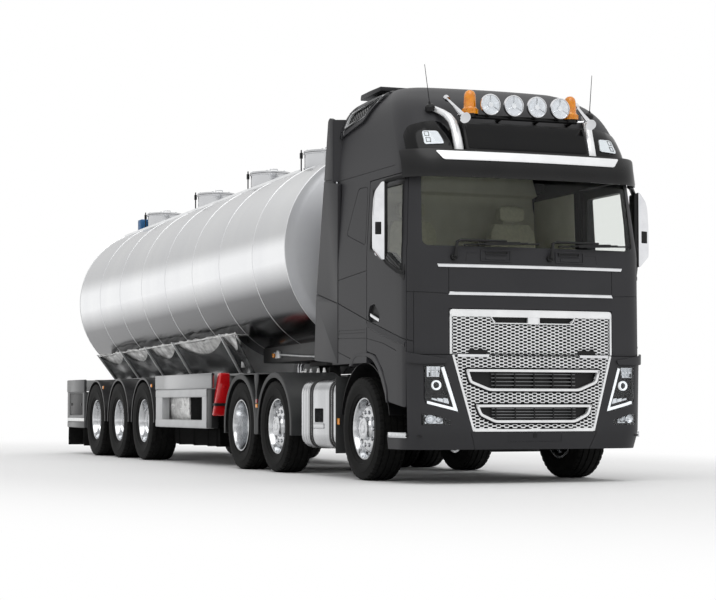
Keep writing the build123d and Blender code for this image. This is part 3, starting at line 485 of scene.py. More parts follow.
# Rim profiles as (distance off the centre line, radius), from the inner bead round the outside to the
# hub cap, then the place of the nuts and of the hand holes
rimKinds = {
    "convex": {"profile": (
        (0.945, 0.285), (0.945, 0.309), (0.975, 0.309), (0.985, 0.3), (1.165, 0.3), (1.178, 0.31),
        (1.19, 0.31), (1.194, 0.303), (1.19, 0.29), (1.172, 0.283), (1.128, 0.272), (1.108, 0.262),
        (1.106, 0.25), (1.13, 0.236), (1.152, 0.226), (1.16, 0.214), (1.162, 0.2), (1.162, 0.118),
        (1.17, 0.112), (1.205, 0.106), (1.212, 0.098), (1.214, 0.072), (1.208, 0.066), (1.208, 0.046),
        (1.216, 0.04), (1.218, 0.0)),
        "nutY": 1.162, "holeR": 0.24, "holeSize": 0.02, "holeY": (1.06, 1.16), "backY": 1.085},
    "twin": {"profile": (
        (0.592, 0.27), (0.592, 0.297), (1.21, 0.297), (1.222, 0.297), (1.226, 0.29), (1.22, 0.28),
        (1.196, 0.274), (1.12, 0.262), (1.02, 0.252), (0.962, 0.246), (0.95, 0.232), (0.944, 0.2),
        (0.944, 0.128), (0.96, 0.122), (1.09, 0.118), (1.112, 0.108), (1.118, 0.085), (1.12, 0.0)),
        "nutY": 0.944, "holeR": 0.212, "holeSize": 0.026, "holeY": (0.86, 0.96), "backY": 0.88},
    "dish": {"profile": (
        (0.88, 0.27), (0.88, 0.297), (1.19, 0.297), (1.2, 0.297), (1.204, 0.29), (1.198, 0.28),
        (1.18, 0.274), (1.13, 0.262), (1.095, 0.254), (1.078, 0.244), (1.07, 0.225), (1.066, 0.2),
        (1.066, 0.142), (1.078, 0.136), (1.128, 0.13), (1.142, 0.118), (1.148, 0.09), (1.15, 0.0)),
        "nutY": 1.066, "holeR": 0.212, "holeSize": 0.028, "holeY": (0.99, 1.09), "backY": 1.01},
}
nutCircle = 0.1675
nutCount = 10
sides = (("left", 1), ("right", -1))


def tyreShape(wheel):
    shape = Shape()
    r, bead, half = wheel["r"], wheel["bead"], wheel["width"] / 2
    middle = (bead + r) / 2
    # Half section from bead to crown as (offset, radius, depth that a cross groove cuts)
    section = [
        (half - 0.045, bead, 0), (half - 0.03, bead + 0.004, 0), (half - 0.02, bead + 0.022, 0),
        (half - 0.019, bead + 0.03, 0), (half - 0.012, bead + 0.034, 0), (half - 0.004, middle - 0.02, 0),
        (half, middle + 0.01, 0), (half - 0.001, middle + 0.024, 0), (half - 0.004, middle + 0.026, 0),
        (half - 0.007, r - 0.05, 0), (half - 0.01, r - 0.034, 0.006), (half - 0.016, r - 0.012, 0.01),
        (half - 0.03, r - 0.004, 0.011), (half * 0.66, r - 0.001, 0.009),
        (half * 0.64, r - grooveDepth, 0), (half * 0.58, r - grooveDepth, 0), (half * 0.56, r, 0.004),
        (half * 0.26, r, 0.004), (half * 0.24, r - grooveDepth, 0), (half * 0.17, r - grooveDepth, 0),
        (half * 0.15, r, 0.003)]
    outline = section + [(-o, radius, cut) for o, radius, cut in reversed(section)]
    for centre in wheel["centres"]:
        rings = []
        for offset, radius, cut in outline + outline[:1]:
            ring = []
            for i in range(treadSteps):
                a = 2 * math.pi * i / treadSteps
                shift = 0 if offset > 0 else blockPitch // 2
                reach = radius - (cut if (i + shift) % blockPitch == 0 else 0)
                ring.append((wheel["x"] + reach * math.cos(a), centre + offset, r + reach * math.sin(a)))
            rings.append(ring)
        shape.loft(rings, caps=False)
    return shape


def rimShape(wheel):
    kind = rimKinds[wheel["rim"]]
    x, r = wheel["x"], wheel["r"]
    back = [(kind["backY"], 0.0), (kind["backY"], 0.13), (kind["backY"], kind["holeR"] + 0.012),
            (kind["profile"][0][0] + 0.02, 0.272)]
    loop = back + list(kind["profile"])
    body = Shape().spin(loop, (x, 0, r), (0, 1, 0), steps=72)
    cuts = Shape()
    for px, pz in spread(nutCount, kind["holeR"], math.pi / nutCount):
        cuts.spin(((kind["holeY"][0] - 0.12, 0), (kind["holeY"][0] - 0.12, kind["holeSize"]),
                   (kind["holeY"][1], kind["holeSize"]),
                   (kind["holeY"][1], 0)), (x + px, 0, r + pz), (0, 1, 0), steps=20, paint=1)
    # Each nut stands in a shallow well
    for px, pz in spread(nutCount, nutCircle):
        cuts.spin(((kind["nutY"] - 0.01, 0), (kind["nutY"] - 0.01, 0.023), (kind["nutY"] + 0.03, 0.026),
                   (kind["nutY"] + 0.03, 0)),
                  (x + px, 0, r + pz), (0, 1, 0), steps=20, paint=1)
    nuts = Shape()
    for px, pz in spread(nutCount, nutCircle):
        base = kind["nutY"] - 0.012
        nuts.spin(((base, 0.022), (base + 0.006, 0.022), (base + 0.008, 0.016)), (x + px, 0, r + pz),
                  (0, 1, 0), steps=20, caps=True)
        nuts.spin(((base + 0.006, 0.0165), (base + 0.03, 0.0165), (base + 0.036, 0.01),
                   (base + 0.036, 0.0)), (x + px, 0, r + pz), (0, 1, 0), steps=6)
    valve = Shape().tube([(x + 0.262, kind["nutY"] - 0.01, r), (x + 0.258, kind["nutY"] + 0.045, r)],
                         0.006, 8)
    return body, cuts, nuts.merge(valve)


for wheelName, wheel in wheels.items():
    tyre = tyreShape(wheel)
    rim, rimCuts, nuts = rimShape(wheel)
    for sideName, side in sides:
        body = f"wheel_{wheelName}_{sideName}"
        make(f"treadedTyre_{wheelName}_{sideName}", tyre.sided(side), body, [tyreRubber],
             [f"tyre_{wheelName}_{sideName}"], angle=28)
        make(f"forgedRim_{wheelName}_{sideName}", rim.sided(side), body,
             [polishedAluminium, castIron],
             [f"rim_{wheelName}_{sideName}"], cuts=[rimCuts.sided(side)], angle=30)
        make(f"wheelNuts_{wheelName}_{sideName}", nuts.sided(side), body,
             [chromePlate], angle=30)
print("wheels done")


# Skins of the cab: height, half width, front in the middle, front where the corner begins, corner radius
skins = {
    "cab": ((1.15, 1.24, 6.93, 6.85, 0.225), (2.2, 1.24, 6.93, 6.85, 0.235),
            (3.0, 1.195, 6.85, 6.76, 0.32)),
    "roof": ((3.0, 1.195, 6.85, 6.76, 0.32), (3.2, 1.187, 6.76, 6.675, 0.3),
             (3.42, 1.16, 6.6, 6.515, 0.29), (3.62, 1.105, 6.42, 6.33, 0.28),
             (3.76, 1.015, 6.2, 6.11, 0.27), (3.88, 0.84, 5.9, 5.82, 0.25),
             (3.95, 0.56, 5.35, 5.29, 0.2)),
    "bumper": ((0.322, 1.228, 6.92, 6.835, 0.32), (0.48, 1.244, 6.965, 6.885, 0.3),
               (1.204, 1.247, 6.945, 6.878, 0.245)),
}


def planAt(skin, z):
    # A skin's half width, bow centre and radius, corner centre and radius at one height; the roof curves
    # between its rows, the other skins run straight
    rows = skins[skin]
    k = max(i for i, row in enumerate(rows[:-1]) if i == 0 or row[0] <= z)
    low, high = rows[k], rows[k + 1]
    span = high[0] - low[0]
    t = (z - low[0]) / span
    values = [a + (b - a) * t for a, b in zip(low[1:], high[1:])]
    if skin == "roof" and 0 <= t <= 1:
        before, after = rows[max(k - 1, 0)], rows[min(k + 2, len(rows) - 1)]
        for i in range(4):
            a, b = low[i + 1], high[i + 1]
            leave = (b - before[i + 1]) / (high[0] - before[0]) * span
            arrive = (after[i + 1] - a) / (after[0] - low[0]) * span
            values[i] = ((2 * t ** 3 - 3 * t ** 2 + 1) * a + (t ** 3 - 2 * t ** 2 + t) * leave
                         + (3 * t ** 2 - 2 * t ** 3) * b + (t ** 3 - t ** 2) * arrive)
    half, middle, corner, r = values
    bow = (half ** 2 + (middle - corner) ** 2) / (2 * (middle - corner))
    centre = middle - bow
    cornerY = half - r
    return half, centre, bow, centre + math.sqrt((bow - r) ** 2 - cornerY ** 2), cornerY, r


def frontX(skin, y, z):
    half, centre, bow, cornerX, cornerY, r = planAt(skin, z)
    y = abs(y)
    if y <= bow * cornerY / (bow - r):
        return centre + math.sqrt(bow ** 2 - y ** 2)
    return cornerX + math.sqrt(max(0.0, r ** 2 - (y - cornerY) ** 2))


def sideY(skin, x, z):
    half, centre, bow, cornerX, cornerY, r = planAt(skin, z)
    return half if x <= cornerX else cornerY + math.sqrt(max(0.0, r ** 2 - (x - cornerX) ** 2))


def onFront(skin):
    return lambda y, z, out: (frontX(skin, y, z) + out, y, z)


def onSide(skin):
    return lambda x, z, out: (x, sideY(skin, x, z) + out, z)


def aroundSkin(skin):
    # Place by the distance round the plan from the middle of the front, past the corner, to the side
    def place(s, z, out):
        half, centre, bow, cornerX, cornerY, r = planAt(skin, z)
        turn = math.asin(cornerY / (bow - r))
        first = bow * turn
        second = first + r * (math.pi / 2 - turn)
        way, s = (1 if s >= 0 else -1), abs(s)
        if s <= first:
            return centre + (bow + out) * math.cos(s / bow), way * (bow + out) * math.sin(s / bow), z
        if s <= second:
            a = turn + (s - first) / r
            return cornerX + (r + out) * math.cos(a), way * (cornerY + (r + out) * math.sin(a)), z
        return cornerX - (s - second), way * (half + out), z
    return place


def spanAt(outline, u):
    # Where an upright line at u meets an outline: lowest and highest point
    hits = []
    for (u0, v0), (u1, v1) in zip(outline, outline[1:] + outline[:1]):
        if min(u0, u1) - 1e-5 <= u <= max(u0, u1) + 1e-5:
            hits += [v0, v1] if abs(u1 - u0) < 2e-5 else [v0 + (v1 - v0) * (u - u0) / (u1 - u0)]
    return (min(hits), max(hits)) if hits else (0.0, 0.0)


def cornersOf(outline):
    # Each corner, with the one before it and the one after it
    return [(Vector(p), Vector(outline[k - 1]), Vector(outline[(k + 1) % len(outline)]))
            for k, p in enumerate(outline)]


def rounded(outline, radius, steps=5):
    # The outline with its corners turned into short curves
    result = []
    for p, a, b in cornersOf(outline):
        reach = min(radius, (a - p).length * 0.45, (b - p).length * 0.45)
        start, end = p + (a - p).normalized() * reach, p + (b - p).normalized() * reach
        for i in range(steps + 1):
            t = i / steps
            result.append(tuple(start * (1 - t) ** 2 + p * 2 * t * (1 - t) + end * t ** 2))
    return result


def rect(u0, u1, v0, v1):
    return [(u0, v0), (u1, v0), (u1, v1), (u0, v1)]


def square(u, v, half):
    return rect(u - half, u + half, v - half, v + half)


def divided(outline, step):
    result = []
    for k, p in enumerate(outline):
        q = outline[(k + 1) % len(outline)]
        n = max(1, math.ceil(math.dist(p, q) / step))
        result += [(p[0] + (q[0] - p[0]) * i / n, p[1] + (q[1] - p[1]) * i / n) for i in range(n)]
    return result


def shrunk(outline, inset):
    # The outline moved inwards by an even margin
    area = sum(a[0] * b[1] - b[0] * a[1] for a, b in zip(outline, outline[1:] + outline[:1]))
    turn = 1 if area > 0 else -1
    result = []
    for p, a, b in cornersOf(outline):
        before, after = (p - a).normalized(), (b - p).normalized()
        n0, n1 = Vector((-before.y, before.x)) * turn, Vector((-after.y, after.x)) * turn
        mitre = (n0 + n1).normalized()
        result.append(tuple(p + mitre * inset / max(0.35, mitre.dot(n1))))
    return result


def plate(outline, place, proud, deep, paint=0, step=0.06, rows=4):
    # A panel that follows a skin: the outline is crossed once by each upright line
    outline = list(outline)
    stops = sorted({round(u, 6) for u, v in outline})
    fine = [a + (b - a) * i / n for a, b in zip(stops, stops[1:])
            for n in [max(1, math.ceil((b - a) / step))] for i in range(n)]
    rings = []
    for u in fine + stops[-1:]:
        low, high = spanAt(outline, u)
        heights = [low + (high - low) * i / rows for i in range(rows + 1)]
        rings.append([place(u, v, proud) for v in heights]
                     + [place(u, v, -deep) for v in reversed(heights)])
    return Shape().loft(rings, paint)


def rimOf(outline, width, place, proud, deep, paint=0, step=0.06):
    # A frame of even width just inside an outline
    outer = divided(outline, step)
    inner = shrunk(outer, width)
    rings = [[place(u, v, proud) for u, v in outer], [place(u, v, -deep) for u, v in outer],
             [place(u, v, -deep) for u, v in inner], [place(u, v, proud) for u, v in inner]]
    return Shape().loft(rings + rings[:1], paint, caps=False)


def panel(u0, u1, v0, v1, place, proud, deep, paint=0):
    return plate([(u0, v0), (u0, v1), (u1, v1), (u1, v0)], place, proud, deep, paint)


def trail(points, width, place, proud, deep, paint=0, step=0.08):
    # A strip or groove of even width along a line on a skin
    line = []
    for a, b in zip(points, points[1:]):
        n = max(1, math.ceil(math.dist(a, b) / step))
        line += [(a[0] + (b[0] - a[0]) * i / n, a[1] + (b[1] - a[1]) * i / n) for i in range(n)]
    line.append(points[-1])
    rings = []
    for k, p in enumerate(line):
        p, a, b = Vector(p), Vector(line[max(k - 1, 0)]), Vector(line[min(k + 1, len(line) - 1)])
        before = (p - a if k else b - p).normalized()
        after = (b - p if k < len(line) - 1 else p - a).normalized()
        mitre = (Vector((-before.y, before.x)) + Vector((-after.y, after.x))).normalized()
        half = width / 2 / max(0.4, mitre.dot(Vector((-after.y, after.x))))
        u, v = p + mitre * half, p - mitre * half
        rings.append([place(*u, proud), place(*v, proud), place(*v, -deep), place(*u, -deep)])
    return Shape().loft(rings, paint)


def hexMesh(outline, place, cell, bar, thick, gaps=(), paint=0):
    # Punched honeycomb sheet: cells wider than high, trimmed at the outline, left out inside each gap
    outline = list(outline)
    left, right = min(u for u, v in outline), max(u for u, v in outline)
    wide, high = cell
    points, faces, edges = [], [], {}
    column = math.floor(left / (0.75 * wide))
    while column * 0.75 * wide < right:
        u = column * 0.75 * wide
        row = math.floor(spanAt(outline, min(max(u, left), right))[0] / high) - 1
        while row * high < spanAt(outline, min(max(u, left), right))[1] + high:
            v = (row + 0.5 * (column % 2)) * high
            row += 1
            low, top = spanAt(outline, min(max(u, left), right))
            inGap = any(min(p[0] for p in gap) < u < max(p[0] for p in gap)
                        and spanAt(gap, u)[0] < v < spanAt(gap, u)[1] for gap in gaps)
            if not (left < u < right and low < v < top) or inGap:
                continue
            ring = []
            for corner, scaleU, scaleV in ((0.25, 1.0, 1.0), (0.3, 1.0 - bar, 1.0 - bar * 2.6)):
                for du, dv in ((0.5, 0), (corner, 0.5), (-corner, 0.5),
                               (-0.5, 0), (-corner, -0.5), (corner, -0.5)):
                    pu = min(max(u + du * wide * scaleU, left), right)
                    limit = spanAt(outline, pu)
                    pv = min(max(v + dv * high * scaleV, limit[0]), limit[1])
                    ring.append((pu, pv))
            start = len(points)
            points += [place(pu, pv, 0) for pu, pv in ring] + [place(pu, pv, -thick) for pu, pv in ring]
            for i in range(6):
                j = (i + 1) % 6
                faces += [(start + i, start + j, start + 6 + j, start + 6 + i),
                          (start + 6 + i, start + 6 + j, start + 18 + j, start + 18 + i),
                          (start + 12 + j, start + 12 + i, start + 18 + i, start + 18 + j)]
                key = frozenset(tuple(round(c, 4) for c in points[start + k]) for k in (i, j))
                edges.setdefault(key, []).append((start + j, start + i, start + 12 + i, start + 12 + j))
        column += 1
    faces += [walls[0] for walls in edges.values() if len(walls) == 1]
    return Shape().add(points, faces, paint)


# Upper grille in the cab front: silver surround, honeycomb, two black slots either side of a post
honeycomb = ((0.056, 0.031), 0.14, 0.012)     # cell size, share of a cell that is bar, sheet thickness
upperGrille = {"half": 0.851, "low": 1.212, "top": 1.632, "band": 0.068, "side": 0.02,
               "slot": ((0.052, 1.572), (0.45, 1.572), (0.405, 1.5), (0.052, 1.5))}
cabFront = onFront("cab")
surround = Shape()
half, top = upperGrille["half"], upperGrille["top"]
corner = [(half, top - upperGrille["band"]), (half, top - 0.026), (half - 0.008, top - 0.008),
          (half - 0.026, top)]
surround.merge(plate([(-y, z) for y, z in corner] + corner[::-1], cabFront, 0.006, 0.03))
sideBar = panel(half - upperGrille["side"], half, upperGrille["low"], top - 0.04, cabFront, 0.006, 0.03)
surround.merge(sideBar).merge(sideBar.mirrored())
for s in (1, -1):
    slot = [(s * y, z) for y, z in upperGrille["slot"]]
    surround.merge(rimOf(slot, 0.01, cabFront, 0.008, 0.02))
surround.merge(panel(-0.052, 0.052, 1.498, 1.58, cabFront, 0.004, 0.02))
make("upperGrilleSurround", surround, "tractor", [anodisedAluminium], ["grilles"],
     bevel=0.003)
meshOutline = rect(-0.836, 0.836, 1.212, 1.568)
slotGaps = [[(-0.4, 1.49), (-0.46, 1.6), (0.46, 1.6), (0.4, 1.49)]]
for s in (1, -1):
    slotGaps.append(rect(s * 0.47, s * 0.67, 1.205, 1.256))
cells = hexMesh(meshOutline, lambda y, z, out: cabFront(y, z, out - 0.004), *honeycomb, slotGaps)
make("upperGrilleMesh", cells, "tractor", [anodisedAluminium])
backing = panel(-0.84, 0.84, 1.2, 1.62, cabFront, -0.036, 0.046)
make("upperGrilleBacking", backing, "tractor", [blackPlastic])

# Lower grille in the bumper: tapering honeycomb with two framed openings over dark slats
lowerGrille = {"top": (0.838, 1.205), "low": (0.642, 0.492), "frame": 0.022,
               "wide": ((0.7, 1.072), (0.7, 1.055), (0.668, 0.945), (0.47, 0.868), (-0.47, 0.868),
                        (-0.668, 0.945), (-0.7, 1.055), (-0.7, 1.072)),
               "narrow": ((0.605, 0.742), (0.605, 0.728), (0.57, 0.64), (0.42, 0.572), (-0.42, 0.572),
                          (-0.57, 0.64), (-0.605, 0.728), (-0.605, 0.742))}
bumperFront = onFront("bumper")
(topY, topZ), (lowY, lowZ) = lowerGrille["top"], lowerGrille["low"]
lowerOutline = [(-lowY, lowZ), (-topY, topZ), (topY, topZ), (lowY, lowZ)]
edge = [(topY - 0.012, topZ), (lowY - 0.012, lowZ + 0.012)]
lowerFrame = trail(edge + [(-y, z) for y, z in edge[::-1]], lowerGrille["frame"], bumperFront, 0.002,
                   0.04)
paintedShadowRims = Shape()
openings = []
for key in ("wide", "narrow"):
    opening = list(lowerGrille[key])
    openings.append(opening)
    lowerFrame.merge(rimOf(rounded(opening, 0.03, 3), 0.024, bumperFront, 0.014, 0.035))
    # A gloss black rim just outside each frame, over the honeycomb: painted shadow in the gap round the
    # opening
    paintedShadowRims.merge(rimOf(rounded(shrunk(opening, -0.015), 0.03, 3), 0.015, bumperFront, -0.003, 0.02))
lowerFrame.merge(plate([(-0.62, 0.49), (-0.635, 0.52), (0.635, 0.52), (0.62, 0.49)], bumperFront, 0.004,
                       0.03))
make("lowerGrilleFrame", lowerFrame, "tractor", [anodisedAluminium], bevel=0.003)
inGaps = [shrunk(opening, 0.01) for opening in openings]
cells = hexMesh([(y * 0.99, z) for y, z in lowerOutline],
                lambda y, z, out: bumperFront(y, z, out - 0.006), *honeycomb, inGaps)
make("lowerGrilleMesh", cells, "tractor", [anodisedAluminium])
lowerBack = plate([(-0.6, 0.5), (-0.8, 1.2), (0.8, 1.2), (0.6, 0.5)], bumperFront, -0.046, 0.056)
slats = Shape()
for opening in openings:
    low, top = min(z for y, z in opening) + 0.02, max(z for y, z in opening) - 0.01
    for k in range(1, 5):
        z = low + (top - low) * k / 5
        slats.merge(panel(-0.44, 0.44, z - 0.004, z + 0.004, bumperFront, -0.018, 0.04, 1))
    for y in (-0.4, -0.2, 0.0, 0.2, 0.4):
        slats.merge(panel(y - 0.006, y + 0.006, low + 0.01, top, bumperFront, -0.014, 0.04))
make("lowerGrilleBacking", lowerBack, "tractor", [blackPlastic])
make("grilleOpeningShadowRims", paintedShadowRims, "tractor", [glossBlack])
make("grilleSlats", slats, "tractor", [blackPlastic, darkSteel])
print("grilles done")


def planRing(skin, z, inset=0.0, rear=4.72, steps=(26, 10, 8)):
    # Closed plan of a skin at one height: left side, left corner, front, right corner, right side
    half, centre, bow, cornerX, cornerY, r = planAt(skin, z)
    turn = math.asin(cornerY / (bow - r))
    front, bend, flank = steps
    arc = [turn + (turn * -2) * i / front for i in range(1, front)]
    left = [(rear + (cornerX - rear) * i / flank, half - inset) for i in range(flank)]
    left += [(cornerX + (r - inset) * math.cos(a), cornerY + (r - inset) * math.sin(a))
             for a in (math.pi / 2 + (turn - math.pi / 2) * i / bend for i in range(bend + 1))]
    middle = [(centre + (bow - inset) * math.cos(a), (bow - inset) * math.sin(a)) for a in arc]
    right = [(x, -y) for x, y in reversed(left)]
    return [(x, y, z) for x, y in left + middle + right]


def bodyOf(skin, low, top, inset=0.0, rear=4.72, rise=0.1, steps=(26, 10, 8)):
    count = max(1, round((top - low) / rise))
    return Shape().loft([planRing(skin, low + (top - low) * i / count, inset, rear, steps)
                         for i in range(count + 1)])


# Seams and grooves of the cab's side as (along, up) lines, the same on both sides
side = onSide("cab")
sideSeams = {
    "crease": {"line": ((4.3, 1.91), (4.98, 1.77), (5.77, 1.57), (6.8, 1.333)), "width": 0.01,
               "deep": 0.01},
    "lowerPanel": {"line": ((4.96, 1.41), (5.77, 1.39), (6.2, 1.33), (6.53, 1.25)), "width": 0.008,
                   "deep": 0.006},
    "rib1": {"line": ((5.02, 1.485), (5.74, 1.475)), "width": 0.008, "deep": 0.005},
    "rib2": {"line": ((5.02, 1.455), (5.74, 1.445)), "width": 0.008, "deep": 0.005},
    "hatch": {"line": ((5.01, 2.0), (5.765, 2.05)), "width": 0.007, "deep": 0.008},
    "sill": {"line": ((4.98, 1.275), (5.34, 1.2)), "width": 0.007, "deep": 0.008},
}
seamCuts = [trail(seam["line"], seam["width"], side, 0.02, seam["deep"]).both()
            for seam in sideSeams.values()]
# Blank window panel behind the door, with rounded corners
blankWindow = rounded([(5.2, 2.44), (5.47, 2.89), (5.725, 2.885), (5.735, 2.3)], 0.05)
seamCuts.append(rimOf(blankWindow, 0.008, side, 0.02, 0.007).both())
# Front seams beside the trim strips and down the corners
frontSeams = [((0.86, 1.79), (0.86, 2.03)), ((0.87, 1.778), (1.29, 1.795)), ((1.2, 1.79), (1.2, 1.212))]
seamCuts += [trail(line, 0.006, aroundSkin("cab"), 0.02, 0.007).both() for line in frontSeams]

cab = {
    "rear": 4.72, "top": 3.0, "floor": 1.15, "step": 5.0,
    "door": ((5.785, 2.925), (5.785, 1.262), (6.01, 1.225), (6.19, 1.08), (6.31, 0.9), (6.335, 0.77),
             (6.73, 0.715), (6.73, 2.25), (6.64, 2.925)),
    "doorway": ((5.773, 2.933), (5.773, 1.0), (6.738, 1.0), (6.738, 2.25), (6.648, 2.933)),
    "window": ((5.87, 2.83), (5.87, 2.25), (6.3, 2.19), (6.66, 2.01), (6.66, 2.27), (6.59, 2.83)),
    "screen": ((-1.11, 2.225), (-1.075, 2.925), (1.075, 2.925), (1.11, 2.225)),
}
doorway = Shape().prism([(x, z) for x, z in cab["doorway"]], "y", 1.02, 1.3).both()
screenHole = Shape().prism(rounded(cab["screen"], 0.07), "x", 6.4, 7.05)
shellCuts = [
    bodyOf("cab", 1.4, 3.05, 0.1, cab["rear"] + 0.06, rise=0.4), doorway, screenHole,
    Shape().box(cab["rear"] - 0.01, cab["step"], 1.198, 1.3, 1.1, 3.02).both(),
    Shape().box(cab["rear"] + 0.06, 6.78, -1.1, 1.1, 1.1, 1.32),
    Shape().box(6.878, 7.05, -0.86, 0.86, 1.14, 1.64), Shape().box(6.742, 7.05, -1.3, 1.3, 1.1, 1.21),
]
make("cabShellPanels", bodyOf("cab", cab["floor"], cab["top"], 0.0, cab["rear"]), "tractor",
     [cabPaint], ["cab_shell"], cuts=shellCuts + seamCuts)

doorSolid = Shape().prism(rounded(list(cab["door"]), 0.025, 2), "y", 1.14, 1.26)
windowHole = Shape().prism(rounded(list(cab["window"]), 0.04), "y", 1.1, 1.3)
handle = {"recess": ((5.84, 1.545), (5.82, 1.62), (5.86, 1.7), (5.98, 1.715), (6.11, 1.62),
                     (6.115, 1.53)),
          "pull": ((5.875, 1.615), (6.095, 1.553))}
# Chamfered ledge that catches light just below the crease, and the black corner below the window
ledge = {"from": (5.795, 1.552), "to": 6.72, "fall": 0.2308}
ledgeReach = ledge["to"] - ledge["from"][0]
ledgeLine = [(ledge["from"][0] + ledgeReach * i / 10,
              ledge["from"][1] - ledge["fall"] * ledgeReach * i / 10)
             for i in range(11)]
for sideName, s in sides:
    body = f"door_{sideName}"
    recess = plate(rounded(list(handle["recess"]), 0.02, 3), side, 0.02, 0.03).sided(s)
    make(f"doorPanels_{sideName}", bodyOf("cab", 0.7, 3.0, 0.0, 5.6).sided(s), body,
         [cabPaint], [f"door_{sideName}"],
         keep=[doorSolid.sided(s)], cuts=[windowHole.sided(s), recess] + seamCuts)
    pull = trail(handle["pull"], 0.032, side, 0.003, 0.02).sided(s)
    make(f"doorPull_{sideName}", pull, body, [chromePlate], bevel=0.004)
    dish = plate(shrunk(list(handle["recess"]), 0.008), side, -0.028, 0.034)
    make(f"doorRecess_{sideName}", dish.sided(s), body, [blackPlastic])
    ledgeShape = Shape().loft([
        [side(x, z, -0.004), side(x, z, 0.001), side(x - 0.008, z - 0.045, 0.01),
         side(x - 0.012, z - 0.06, 0.001), side(x - 0.012, z - 0.06, -0.004)] for x, z in ledgeLine])
    make(f"doorLedge_{sideName}", ledgeShape.sided(s), body, [cabPaint])
    belt = rimOf(shrunk(list(cab["window"]), -0.018), 0.02, side, 0.003, 0.004)
    belt.merge(plate([(6.27, 2.175), (6.655, 1.985), (6.715, 2.05), (6.715, 1.93), (6.7, 1.905)], side,
                     0.004, 0.004))
    make(f"windowSeal_{sideName}", belt.sided(s), body, [blackPlastic])
print("cab panels done")


# Front trim: two bright strips with tapered ends, and recessed steps with grab slots below the screen
frontTrim = {
    "topStrip": ((0.962, 2.024), (0.975, 2.054), (-0.975, 2.054), (-0.962, 2.024)),
    "lowStrip": ((0.866, 1.764), (0.85, 1.794), (-0.85, 1.794), (-0.866, 1.764)),
    "screenStep": ((0.232, 2.084), (0.232, 2.196), (0.544, 2.196), (0.544, 2.084)),
    "stepSlot": ((0.268, 2.15), (0.268, 2.182), (0.492, 2.182), (0.492, 2.15)),
}
aroundCab = aroundSkin("cab")
aroundBumper = aroundSkin("bumper")
strips = Shape()
for key in ("topStrip", "lowStrip"):
    strips.merge(plate(frontTrim[key], cabFront, 0.01, 0.004))
make("frontTrimStrips", strips, "tractor", [chromePlate], bevel=0.003)
stepBox = rimOf(rounded(list(frontTrim["screenStep"]), 0.02), 0.012, cabFront, 0.01, 0.004)
stepBox.merge(plate(frontTrim["stepSlot"], cabFront, 0.004, 0.002, paint=1))
stepBox.merge(rimOf(list(frontTrim["stepSlot"]), 0.006, cabFront, 0.014, 0.004))
stepBox.merge(panel(0.29, 0.49, 2.1, 2.128, cabFront, 0.008, 0.004))
stepBox.merge(trail(((0.56, 2.163), (0.68, 2.163), (0.69, 2.08)), 0.006, cabFront, 0.003, 0.002))
make("screenSteps", stepBox.both(), "tractor", [cabPaint, blackPlastic], bevel=0.003)

# Wipers: pivot, crank arm and a long blade along the foot of the screen
wipers = {"pivots": ((-0.812, 2.118), (0.172, 2.124)),
          "arm": ((0.0, 0.0), (0.02, 0.145), (0.06, 0.158), (0.52, 0.16)), "blade": (0.095, 0.87)}
wiperShape = Shape()
for py, pz in wipers["pivots"]:
    top = aroundCab(py, pz, 0.0)
    wiperShape.spin(((0.0, 0.032), (0.03, 0.032), (0.042, 0.024), (0.046, 0.0)), (top[0] - 0.005, py, pz),
                    (1, 0, 0.1), 20)
    path = [(frontX("cab", py + dy, pz + dz) + 0.045, py + dy, pz + dz) for dy, dz in wipers["arm"]]
    wiperShape.tube(path, [0.02, 0.015, 0.014, 0.009], 10)
    start, end = wipers["blade"]
    blade = [(py + start + t * (end - start), pz + 0.118 + 0.025 * t)
             for t in (i / 12 for i in range(13))]
    wiperShape.merge(trail(blade, 0.014, cabFront, 0.028, -0.004))
    wiperShape.tube([(frontX("cab", y, z) + 0.034, y, z + 0.006) for y, z in blade[2:-2]], 0.008, 8)
    wiperShape.merge(trail([(py + 0.3, pz + 0.128), (py + 0.66, pz + 0.142)], 0.03, cabFront, 0.044,
                           -0.028))
make("wipers", wiperShape, "tractor", [blackPlastic])
print("front trim done")

# Headlamps: dark bowl, bright light guide along two edges, projector and upper reflector, clear cover
headlamp = {"outline": ((1.108, 1.104), (0.908, 1.104), (0.772, 0.668), (1.088, 0.744), (1.106, 0.8)),
            "depth": 0.055,
            "guide": ((0.928, 1.09), (0.798, 0.692), (1.086, 0.762)), "guideWide": 0.03,
            "projector": (0.985, 0.922)}
fogLamp = {"outline": ((1.125, 0.552), (1.125, 0.655), (1.03, 0.652), (0.85, 0.592), (0.85, 0.552)),
           "depth": 0.045}
lampFloor, lampGuide, lampLens, lampBright = Shape(), Shape(), Shape(), Shape()
for lamp in (headlamp, fogLamp):
    outline = list(lamp["outline"])
    lampFloor.merge(plate(outline, aroundBumper, -lamp["depth"], lamp["depth"] + 0.006))
    lampFloor.merge(rimOf(outline, 0.007, aroundBumper, -0.006, lamp["depth"]))
    lampLens.merge(plate(outline, aroundBumper, -0.001, 0.004))
# The bowl steps inwards on dark ledges
for scale, depth in ((0.02, 0.045), (0.045, 0.035)):
    lampFloor.merge(rimOf(shrunk(list(headlamp["outline"]), scale), 0.012, aroundBumper, -depth, 0.058))
lampGuide.merge(trail(headlamp["guide"], headlamp["guideWide"], aroundBumper, -0.008, 0.03))
py, pz = headlamp["projector"]
centre = Vector(aroundBumper(py, pz, -0.05))
way = Vector((1, 0.12, 0)).normalized()
lampGuide.spin(((0.0, 0.03), (0.0, 0.046), (0.03, 0.046), (0.036, 0.04), (0.032, 0.033), (0.012, 0.03)),
               centre, way, 28)
lampLens.spin(((0.004, 0.031), (0.018, 0.029), (0.03, 0.02), (0.036, 0.008), (0.037, 0.0)), centre, way,
              28)
